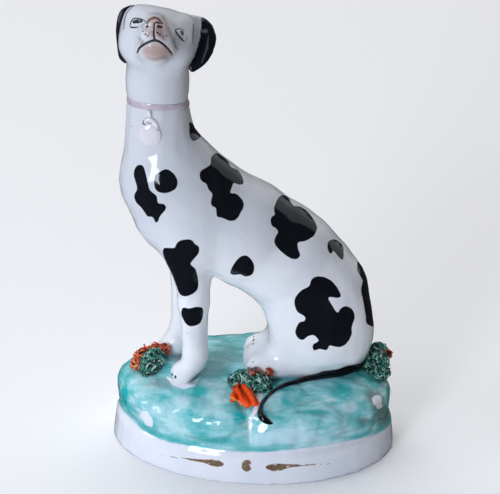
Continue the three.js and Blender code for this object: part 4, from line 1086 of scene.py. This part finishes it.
def onRock(x, y):  # the rock's height at a place, all in mm
    return rockTree.ray_cast(Vector((x, y, aboveRock)) * mm, Vector((0, 0, -1)))[0].z / mm


def overRock(pixel, height):  # the place that shows at a pixel, a height above the rock, in mm
    drop = height * math.cos(math.radians(photoView["elevation"])) / mmPerPixel
    spot = rockTree.ray_cast(Vector(eye), sightLine((pixel[0], pixel[1] + drop)))[0] / mm
    return (spot.x, spot.y, spot.z + height)


# Slab in the underside


def bareClay():
    brush = Brush("bare_clay")
    body = brush.blend(brush.noise(7, 4), (0.60, 0.52, 0.42), (0.72, 0.66, 0.57))
    body = brush.blend(brush.edge(brush.noise(1.0, 2), 0.66, 0.74) * 0.6, body, (0.33, 0.24, 0.17))
    return brush.finish({
        "Base Color": body,
        "Roughness": 0.78 + brush.noise(3, 3) * 0.15,
        "Normal": brush.bump(brush.noise(0.8, 4), 0.25),
    })


slab = nodes["base_closing_slab"]
slab.data.materials.clear()
slab.data.materials.append(bareClay())

# Ears

earFlaps = {
    "left_ear": {  # outline in pixels, from its top down on each side, and where the white root ends
        "left": [(187, 15), (187, 30), (186, 45), (186, 60), (189.5, 72)],
        "right": [(199, 14.4), (207.6, 18.4), (213, 25), (216, 36), (215.2, 46), (212.2, 56), (206.4, 64.5),
                  (195.6, 73)],
        "root": [(201, 15), (201, 26), (199.5, 38), (196.5, 50), (192, 60), (186, 72)],
        # grey streaks: a grey wash, and a painted highlight along the top of the ear
        "streaks": [([(208.4, 36), (207, 48), (201.8, 62.5)], [1.0, 2.2, 1.0]),
                    ([(201, 31), (206, 31)], [3.0, 4.0]),
                    ([(194.5, 17.5), (203, 20)], [1.4, 2.2])],
        "back": 0.0,
    },
    "right_ear": {
        "left": [(125.5, 4.4), (119.6, 9.5), (116.7, 17.5), (115.3, 29), (116, 40.7), (118.2, 56),
                 (122, 62.5)],
        "right": [(136, 4.4), (131, 9.5), (127, 17.5), (125, 29), (125, 40.7), (126, 56), (127, 62.5)],
        "root": [(90, 0), (90, 70)],
        # painted highlight in grey along the flap
        "streaks": [([(122, 8), (120, 15), (118.5, 22)], [1.4, 1.8, 1.0])],
        "back": 1.4,  # mm further from the eye, behind the cheek
    },
    "voxel": 0.4,
    "rounds": 12,
    "bands": 24,  # rows at which the outline is fitted, and rounds of evening it
    "even": 4,
}


def earGlaze():
    brush = Brush("black_ear_enamel")
    streaks = brush.noise(3.5, 4, (1.0, 1.0, 0.22))
    black = brush.blend(brush.edge(streaks, 0.5, 0.8), (0.009, 0.010, 0.016), (0.026, 0.030, 0.042))
    # grey streaks on the black: partly grey wash, partly painted highlights
    thin = brush.painted("streak", 1.2, 3, 0.5, 0.3, -0.4)
    black = brush.blend(thin * 0.7, black, (0.17, 0.20, 0.26))
    root = brush.painted("root", 1.5, 3, 1.0, 0.25, -0.25)
    white = brush.blend(brush.edge(streaks, 0.45, 0.7) * 0.7, (0.68, 0.70, 0.75), (0.42, 0.42, 0.47))
    colour = brush.blend(root, black, white)
    return brush.finish({
        "Base Color": colour,
        "Roughness": 0.14 + streaks * 0.1,
        "Normal": brush.bump(brush.noise(3, 3), 0.3),
        "Specular IOR Level": 0.25,
    })


def rowsOf(line, rows):  # how far across a line lies at each row
    across, down = np.array(curveThrough(line)).T
    return np.interp(rows, down, across)


# Moves the flap sideways and upwards in the view until its outline is the photograph's
def fitOutline(mesh, ear):
    points = coordinates(mesh)
    pixels = toPhoto(points)
    span = (ear["left"][0][1], ear["left"][-1][1])
    rows = np.interp(pixels[:, 1], (pixels[:, 1].min(), pixels[:, 1].max()), span)
    low, high = sidesOf(pixels[:, 0], rows, np.linspace(*span, earFlaps["bands"]), earFlaps["even"])
    share = np.clip((pixels[:, 0] - low) / (high - low), 0, 1)
    across = rowsOf(ear["left"], rows) * (1 - share) + rowsOf(ear["right"], rows) * share
    move = np.outer(across - pixels[:, 0], viewRight) + np.outer(pixels[:, 1] - rows, viewUp)
    place(mesh, points + (move * mmPerPixel - viewBack * ear["back"]) * mm)


def makeEars():
    glaze = earGlaze()
    for node in ("left_ear", "right_ear"):
        ear = earFlaps[node]
        mesh = remeshed(cadCopy([node]), earFlaps["voxel"], earFlaps["rounds"], inward=0.5)
        fitOutline(mesh, ear)
        relax(mesh, earFlaps["rounds"] * 2)
        pixels = toPhoto(coordinates(mesh))
        keepDistance(mesh, "root", (pixels[:, 0] - rowsOf(ear["root"], pixels[:, 1])) * mmPerPixel)
        keepDistance(mesh, "streak", strokes(pixels, ear["streaks"]))
        addPiece(node + "_flap", mesh, glaze, [node])
    print("ears")


makeEars()

# Collar, with the padlock on its link

padlock = {
    "body": (150.2, 135),  # pixels, the middle of the lock's swell
    "bodySize": (4.0, 1.1, 4.2),  # mm
    "shackle": (150, 119.4),  # pixels, the top of the arch
    "shackleSize": (2.5, 3.4),  # mm, half its width and its height
    "shackleRoll": 0.8,
    "shackleSteps": 12,
    "lines": [([(143.5, 118), (143.2, 124), (148, 126.4)], [0.8, 1.6, 0.8]),
              ([(157.3, 130), (157.6, 130.4)], [1.4, 1.2])],
    "voxel": 0.28,
    "rounds": 24,
    "linkRounds": 6,
}


def lustreGlaze():
    brush = Brush("pink_lustre_band")
    worn = brush.edge(brush.noise(5, 4), 0.40, 0.66)
    colour = brush.blend(worn, (0.60, 0.52, 0.59), (0.68, 0.64, 0.71))
    colour = brush.blend(brush.edge(brush.noise(2.2, 4), 0.62, 0.76) * 0.4, colour, (0.36, 0.26, 0.32))
    return brush.finish({
        "Base Color": colour,
        "Roughness": 0.14 + worn * 0.06,
        "Metallic": (1 - worn) * 0.12,
        "Normal": brush.bump(brush.noise(3, 2), 0.3),
        "Coat Weight": 0.5,
        "Coat Roughness": 0.05,
    })


def padlockGlaze():
    brush = Brush("padlock_glaze")
    colour = brush.blend(brush.noise(4, 3), (0.76, 0.70, 0.74), (0.80, 0.79, 0.84))
    colour = brush.blend(brush.painted("line", 0.8, 2, 0.2, 0.12, -0.12) * 0.85, colour, (0.09, 0.045, 0.03))
    return brush.finish({
        "Base Color": colour,
        "Roughness": 0.12 + brush.noise(2, 2) * 0.06,
        "Normal": brush.bump(brush.noise(3, 2), 0.3),
        "Coat Weight": 0.6,
        "Coat Roughness": 0.05,
    })


def collarStrip():  # a rounded strip laid round the neck's skin
    middle, (rightward, backward) = collarPlane()
    steps, sides = collarBand["steps"], collarBand["sides"]
    work = bmesh.new()
    rings = []
    for step in range(steps):
        bearing = 2 * math.pi * step / steps
        outward = Vector((math.cos(bearing), math.sin(bearing), 0))
        outward.z = rightward * outward.x + backward * outward.y
        ring = []
        for side in range(sides):
            turn = 2 * math.pi * side / sides
            rise = Vector((0, 0, math.sin(turn) * collarBand["half"] * mm))
            start = middle + rise + outward * collarBand["clear"] * mm
            skin = houndTree.ray_cast(start, -outward.normalized())[0]
            reach = math.cos(turn) * collarBand["proud" if math.cos(turn) > 0 else "sunk"] * mm
            ring.append(work.verts.new(skin + outward * reach))
        rings.append(ring)
    joinRings(work, [*rings, rings[0]])
    bmesh.ops.recalc_face_normals(work, faces=work.faces)
    return meshFrom(work, "strip")


def makeCollar():
    addPiece("collar_band", collarStrip(), lustreGlaze(), [collarBand["node"]])
    link = remeshed(cadCopy(["padlock_link"]), padlock["voxel"], padlock["linkRounds"])
    relief = padlockGlaze()
    keep(link, "line", np.full(len(link.vertices), paintReach))
    addPiece("padlock_roll", link, relief, ["padlock_link"])
    work = bmesh.new()
    centre, facing = houndTree.ray_cast(Vector(eye), sightLine(padlock["body"]))[:2]
    top = houndTree.ray_cast(Vector(eye), sightLine(padlock["shackle"]))[0]
    spin = math.degrees(math.atan2(facing.x, -facing.y))
    addBall(work, centre / mm, padlock["bodySize"], (0, 0, spin))
    half, rise = padlock["shackleSize"]
    across = Vector((math.cos(math.radians(spin)), math.sin(math.radians(spin)), 0))
    arch = []
    for angle in np.linspace(0, math.pi, padlock["shackleSteps"] + 1):
        arch.append(top / mm + across * math.cos(angle) * half + Vector((0, 0, (math.sin(angle) - 1) * rise)))
    addRoll(work, arch, [padlock["shackleRoll"]] * len(arch))
    mesh = pressedTogether(work, padlock["voxel"], padlock["rounds"])
    keepDistance(mesh, "line", strokes(toPhoto(coordinates(mesh)), padlock["lines"]))
    addPiece("padlock_relief", mesh, relief, ["padlock"])
    print("collar and padlock")


makeCollar()

# Tail, a rolled coil on the rock

tailCoil = {
    "root": (41.5, 8.0, 1.8),  # mm on the base, behind the rump, and the roll's radius
    # Pixels along the roll, and its radius there in mm
    "route": [((363.5, 360), 1.6), ((356, 366.4), 1.6), ((348, 370), 1.6), ((340, 372.2), 1.6),
              ((332, 373.6), 1.6), ((324, 374.6), 1.55), ((316, 376.6), 1.3), ((308, 378.3), 1.1),
              ((300, 380.3), 1.05), ((292, 382.6), 0.9), ((284, 385), 0.85), ((276.5, 388.6), 0.65),
              ((271.5, 392.6), 0.55), ((267, 396.6), 0.6), ((262.5, 402.5), 0.7), ((260.4, 409), 0.85),
              ((260.8, 415), 1.3), ((264.8, 419.6), 1.3), ((268.8, 422.4), 0.8), ((272.6, 423.6), 0.3)],
    "sunk": 0.3,  # share of its radius that is pressed into the rock
    "voxel": 0.3,
    "rounds": 8,
}


def blackEnamel():
    brush = Brush("black_enamel")
    streaks = brush.noise(3.0, 4)
    colour = brush.blend(brush.edge(streaks, 0.5, 0.8), (0.004, 0.005, 0.006), (0.012, 0.013, 0.017))
    return brush.finish({
        "Base Color": colour,
        "Roughness": 0.08 + streaks * 0.06,
        "Normal": brush.bump(brush.noise(2.4, 3), 0.2),
        "Specular IOR Level": 0.5,
    })


def makeTail():
    work = bmesh.new()
    lift = 1 - tailCoil["sunk"]
    x, y, radius = tailCoil["root"]
    stations = [(x, y, onRock(x, y) + radius * lift, radius)]
    stations += [(*overRock(pixel, radius * lift), radius) for pixel, radius in tailCoil["route"]]
    addCoil(work, curveThrough(stations))
    mesh = pressedTogether(work, tailCoil["voxel"], tailCoil["rounds"])
    addPiece("tail_coil", mesh, blackEnamel(), ["tail"])
    print("tail", len(mesh.vertices))


makeTail()

# Shredded-clay grass and flowers

# Each clump is pressed from balls: middle and radius in mm
clumps = {
    "left_grass_tuft": {"slot": "grass_enamel", "seed": 3, "balls": [
        (-37.2, -4.5, 31.4, 3.4), (-38.3, -7.0, 30.2, 3.0), (-36.4, -1.2, 32.2, 2.7),
        (-39.4, -3.9, 30.6, 2.8)]},
    "left_flower_shreds": {"slot": "orange_enamel", "seed": 7, "balls": [
        (-42.3, -4.2, 29.8, 2.3), (-41.6, -0.6, 31.2, 2.2), (-39.4, 1.2, 32.2, 2.1), (-36.8, 1.6, 33.0, 1.9),
        (-34.2, 1.8, 33.4, 1.9)]},
    "front_grass_tuft": {"slot": "grass_enamel", "seed": 11, "balls": [
        (-3.6, -14.0, 31.5, 3.2), (0.6, -15.0, 31.2, 3.4), (3.5, -14.5, 30.5, 2.8), (-5.7, -14.0, 30.5, 2.4),
        (-1.1, -13.5, 32.2, 2.8), (4.6, -16.5, 29.6, 2.0)]},
    "front_flower_shreds": {"slot": "red_enamel", "seed": 17, "balls": [
        (0.8, -13.4, 34.4, 1.4), (6.0, -11.6, 33.8, 0.9)]},
    "rear_grass_tuft": {"slot": "grass_enamel", "seed": 23, "balls": [
        (45.4, 10.0, 31.7, 3.2), (46.0, 5.5, 30.6, 3.0), (46.8, 1.0, 28.8, 2.4), (44.5, 7.0, 28.7, 4.0)]},
    "rear_flower_shreds": {"slot": "red_enamel", "seed": 29, "balls": [(48.0, 8.5, 31.5, 1.7)]},
}
shred = {
    "length": 2.5,  # mm
    "thickness": 0.52,
    "density": 180.0e4,  # in a square metre
    "bend": 0.6,  # shares of its length: sideways, up in the middle, and up at the tip
    "arch": 0.25,
    "tip": 0.1,
    "sides": 6,  # and stretches along it
    "tilt": 1.1,  # radians to either side
    "turn": 6.283,
    "spread": (0.7, 1.2),  # shortest and longest
    "shadeSeed": 5,
    "padFlat": 0.85,  # the pad that they lie on: its balls' height as a share of their width
    "padVoxel": 0.5,  # mm
    "padRounds": 3,
}


# Tones of the darkest shreds, painted shade standing in for the depth of a clump; of most shreds; and of the
# palest, partly painted highlights
shredTones = {
    "grass_enamel": ((0.003, 0.020, 0.019), (0.03, 0.28, 0.20), (0.52, 0.76, 0.64)),
    "orange_enamel": ((0.10, 0.008, 0.003), (0.78, 0.075, 0.008), (0.95, 0.34, 0.10)),
    "red_enamel": ((0.08, 0.010, 0.006), (0.52, 0.06, 0.025), (0.66, 0.26, 0.14)),
}


def shredGlaze(name, deep, main, pale):
    brush = Brush(name)
    shade = brush.attribute("shade")
    # painted shade on the darkest shreds, chosen at random
    colour = brush.blend(brush.edge(shade, 0.1, 0.5), deep, main)
    # the palest shreds, partly painted highlights
    colour = brush.blend(brush.edge(shade, 0.72, 0.95), colour, pale)
    # greyish-white patches: bare glaze, partly painted glints
    bare = brush.edge(brush.noise(1.4, 2) + shade * 0.2, 0.78, 0.84)
    colour = brush.blend(bare * 0.7, colour, (0.66, 0.67, 0.66))
    return brush.finish({
        "Base Color": colour,
        "Roughness": 0.14 + brush.noise(1.0, 2) * 0.12,
        "Normal": brush.bump(brush.noise(0.7, 2), 0.12),
        "Coat Weight": 0.9,
        "Coat Roughness": 0.06,
    })


def shredTree():
    tree = bpy.data.node_groups.new("shredded_clay", "GeometryNodeTree")
    sizes = {}
    tree.interface.new_socket("Geometry", in_out="OUTPUT", socket_type="NodeSocketGeometry")
    kinds = {"Geometry": "Geometry", "Density": "Float", "Length": "Float", "Thickness": "Float",
             "Bend": "Float", "Seed": "Int", "Material": "Material"}
    for name, kind in kinds.items():
        socket = tree.interface.new_socket(name, in_out="INPUT", socket_type="NodeSocket" + kind)
        sizes[name] = socket.identifier
    start = tree.nodes.new("NodeGroupInput").outputs

    def add(kind, settings=None, values=None):
        made = tree.nodes.new(kind)
        for key, value in (settings or {}).items():
            setattr(made, key, value)
        for key, value in (values or {}).items():
            if isinstance(value, bpy.types.NodeSocket):
                tree.links.new(value, made.inputs[key])
            else:
                made.inputs[key].default_value = value
        return made.outputs

    points = add("GeometryNodeDistributePointsOnFaces", None,
                 {"Mesh": start["Geometry"], "Density": start["Density"], "Seed": start["Seed"]})
    peak = add("ShaderNodeCombineXYZ", None, {"Y": start["Bend"], "Z": shred["arch"]})[0]
    sides, tilt, (short, long) = shred["sides"], shred["tilt"], shred["spread"]
    line = add("GeometryNodeCurveQuadraticBezier", None,
               {"Resolution": sides, "Start": (-0.5, 0, 0), "Middle": peak, "End": (0.5, 0, shred["tip"])})[0]
    ratio = add("ShaderNodeMath", {"operation": "DIVIDE"}, {0: start["Thickness"], 1: start["Length"]})[0]
    half = add("ShaderNodeMath", {"operation": "MULTIPLY"}, {0: ratio, 1: 0.5})[0]
    ring = add("GeometryNodeCurvePrimitiveCircle", None, {"Resolution": sides, "Radius": half})[0]
    roll = add("GeometryNodeCurveToMesh", None, {"Curve": line, "Profile Curve": ring, "Fill Caps": True})[0]
    lean = add("FunctionNodeRandomValue", {"data_type": "FLOAT_VECTOR"},
               {"Min": (-tilt, -tilt, 0.0), "Max": (tilt, tilt, shred["turn"]), "Seed": start["Seed"]})[0]
    turn = add("FunctionNodeEulerToRotation", None, {"Euler": lean})[0]
    spin = add("FunctionNodeRotateRotation", {"rotation_space": "LOCAL"},
               {"Rotation": points["Rotation"], "Rotate By": turn})[0]
    spread = add("FunctionNodeRandomValue", {"data_type": "FLOAT"},
                 {2: short, 3: long, "Seed": start["Seed"]})[1]
    size = add("ShaderNodeMath", {"operation": "MULTIPLY"}, {0: spread, 1: start["Length"]})[0]
    laid = add("GeometryNodeInstanceOnPoints", None,
               {"Points": points["Points"], "Instance": roll, "Rotation": spin, "Scale": size})[0]
    shade = add("FunctionNodeRandomValue", {"data_type": "FLOAT"},
                {2: 0.0, 3: 1.0, "Seed": shred["shadeSeed"]})[1]
    shaded = add("GeometryNodeStoreNamedAttribute", {"data_type": "FLOAT", "domain": "INSTANCE"},
                 {"Geometry": laid, "Name": "shade", "Value": shade})[0]
    real = add("GeometryNodeRealizeInstances", None, {"Geometry": shaded})[0]
    joined = tree.nodes.new("GeometryNodeJoinGeometry")
    tree.links.new(start["Geometry"], joined.inputs[0])
    tree.links.new(real, joined.inputs[0])
    done = add("GeometryNodeSetMaterial", None,
               {"Geometry": joined.outputs[0], "Material": start["Material"]})[0]
    tree.links.new(done, tree.nodes.new("NodeGroupOutput").inputs[0])
    return tree, sizes


def makeClumps():
    tree, sizes = shredTree()
    tones = {slot: shredGlaze(slot, *tones) for slot, tones in shredTones.items()}
    for node, clump in clumps.items():
        work = bmesh.new()
        for x, y, z, radius in clump["balls"]:
            addBall(work, (x, y, z), (radius, radius, radius * shred["padFlat"]))
        pad = pressedTogether(work, shred["padVoxel"], shred["padRounds"])
        values = {"Density": shred["density"], "Length": shred["length"] * mm,
                  "Thickness": shred["thickness"] * mm, "Bend": shred["bend"],
                  "Seed": clump["seed"], "Material": tones[clump["slot"]]}
        inputs = {sizes[name]: value for name, value in values.items()}
        mesh = evaluated(pad, "NODES", inputs, node_group=tree)
        addPiece(node + "_shreds", mesh, tones[clump["slot"]], [node])
        print(node, len(mesh.polygons))


makeClumps()

# Folded petal of the front flower

petal = {  # lines in pixels
    "outline": [(236.6, 382), (243, 380), (248.6, 381), (252, 389), (254.8, 396.4), (257.3, 403.9),
                (252, 406), (246.5, 407.2), (240.7, 403), (234, 399.8), (229, 397.3), (231.6, 391.5),
                (235, 387.3)],
    # dark in the folds: painted shade, and partly painted lines
    "creases": [([(240, 386), (245, 394.5), (251, 402.5)], [1.6, 2.8, 0.8]),
                ([(235, 391), (238, 398)], [0.5, 0.9])],
    "rim": [([(229.5, 396), (235, 400), (241, 403.6), (246, 406.6)], [1.2, 1.8, 1.8, 1.2])],  # bare edge, partly a painted highlight
    "step": 0.6,  # pixels
    "lift": 1.7,  # mm
    "crown": 1.8,
    "crownSoft": 0.7,
    "fold": 1.6,
    "foldSoft": 0.5,
    "thick": 2.6,
    "voxel": 0.3,
    "rounds": 3,
}


def petalGlaze():
    brush = Brush("orange_petal")
    depth = brush.painted("crease", 0.9, 3, 0.5, 0.25, -0.25)
    colour = brush.blend(brush.noise(2.5, 3), (0.95, 0.04, 0.002), (1.0, 0.13, 0.004))
    colour = brush.blend(brush.edge(brush.noise(0.8, 2), 0.60, 0.70) * 0.5, colour, (1.0, 0.40, 0.05))
    # painted shade in the folds, partly painted lines
    colour = brush.blend(depth * 0.85, colour, (0.16, 0.014, 0.006))
    # pale bare edge, partly a painted highlight
    colour = brush.blend(brush.painted("bare", 1.2, 3, 0.5, 0.2, -0.2) * 0.7, colour, (0.92, 0.50, 0.14))
    return brush.finish({
        "Base Color": colour,
        "Roughness": 0.14 + brush.noise(1.5, 2) * 0.1,
        "Normal": brush.bump(brush.noise(1.6, 3), 0.45),
        "Specular IOR Level": 0.3,
    })


def makePetal():
    low, high = np.min(petal["outline"], axis=0), np.max(petal["outline"], axis=0)
    columns, rows = (np.arange(start, end, petal["step"]) for start, end in zip(low, high))
    grid = np.array([(x, y) for y in rows for x in columns])
    inside = outlined(grid, petal["outline"])
    folds = np.maximum(strokes(grid, petal["creases"]), 0)
    height = petal["lift"] + petal["crown"] * (1 - np.exp(np.minimum(inside, 0) / petal["crownSoft"]))
    height -= petal["fold"] * np.exp(-(folds / petal["foldSoft"]) ** 2)
    work = bmesh.new()
    corners = {
        index: work.verts.new(Vector(overRock(grid[index], height[index])) * mm)
        for index in np.flatnonzero(inside < 0)
    }
    wide = len(columns)
    for index in corners:
        cell = [index, index + wide, index + wide + 1, index + 1]
        if (index + 1) % wide and all(corner in corners for corner in cell):
            work.faces.new([corners[corner] for corner in cell])
    solid = evaluated(meshFrom(work, "sheet"), "SOLIDIFY", thickness=petal["thick"] * mm, offset=-1)
    mesh = remeshed(solid, petal["voxel"], petal["rounds"])
    pixels = toPhoto(coordinates(mesh))
    for name, lines in (("crease", petal["creases"]), ("bare", petal["rim"])):
        keepDistance(mesh, name, strokes(pixels, lines))
    addPiece("front_petal", mesh, petalGlaze(), ["front_flower_petal"])
    print("petal", len(mesh.vertices))


makePetal()

# Floor and light

studio = {
    "floor": 12.0,  # metres across
    "floorTone": (0.96, 0.96, 0.965),
    "sky": 0.03,
    "skyTone": (1.0, 0.97, 0.99),
    # Bearing in degrees left of the front, height in degrees, distance and size in mm, watts, colour
    "lamps": [
        ("window", 25, 14, 1000, (270, 420), 5.1, (0.80, 0.87, 1.0)),
        ("side", 72, 21, 1100, (420, 300), 1.9, (0.82, 0.89, 1.0)),
        ("ceiling", 45, 62, 1200, (800, 800), 2.7, (0.94, 0.96, 1.0)),
        ("sheen", -130, 28, 1500, (1150, 1700), 3.8, (0.90, 0.94, 1.0)),
        ("backdrop", 168, 60, 1800, (2200, 1900), 31.0, (0.98, 0.98, 1.0)),
    ],
    "aim": (-4, 0, 80),  # mm
}


def makeStudio():
    mesh = bpy.data.meshes.new("floor")
    half = studio["floor"] / 2
    corners = [(-half, -half, 0), (half, -half, 0), (half, half, 0), (-half, half, 0)]
    mesh.from_pydata(corners, [], [(0, 1, 2, 3)])
    brush = Brush("pale_floor")
    mesh.materials.append(brush.finish({"Base Color": (*studio["floorTone"], 1), "Roughness": 0.7}))
    floor = bpy.data.objects.new("floor", mesh)
    scene.collection.objects.link(floor)
    floor.visible_glossy = False  # keeps the black enamel deep
    world = bpy.data.worlds.new("studio")
    world.use_nodes = True
    sky = world.node_tree.nodes["Background"].inputs
    sky["Color"].default_value = (*studio["skyTone"], 1)
    sky["Strength"].default_value = studio["sky"]
    scene.world = world
    scene.view_settings.view_transform = "Standard"
    for name, bearing, height, away, size, power, colour in studio["lamps"]:
        left, up = math.radians(bearing), math.radians(height)
        outward = Vector((-math.sin(left) * math.cos(up), -math.cos(left) * math.cos(up), math.sin(up)))
        spot = (Vector(studio["aim"]) + outward * away) * mm
        data = bpy.data.lights.new(name, "AREA")
        data.shape = "RECTANGLE"
        data.size, data.size_y = size[0] * mm, size[1] * mm
        data.energy = power
        data.color = colour
        lamp = bpy.data.objects.new(name, data)
        lamp.matrix_world = Matrix.Translation(spot) @ outward.to_track_quat("Z", "Y").to_matrix().to_4x4()
        lamp.visible_glossy = name != "backdrop"  # it lights the floor, and leaves no glare on the rock
        lamp.visible_diffuse = name != "sheen"  # it shows only as a reflection on the upper sides
        scene.collection.objects.link(lamp)


makeStudio()
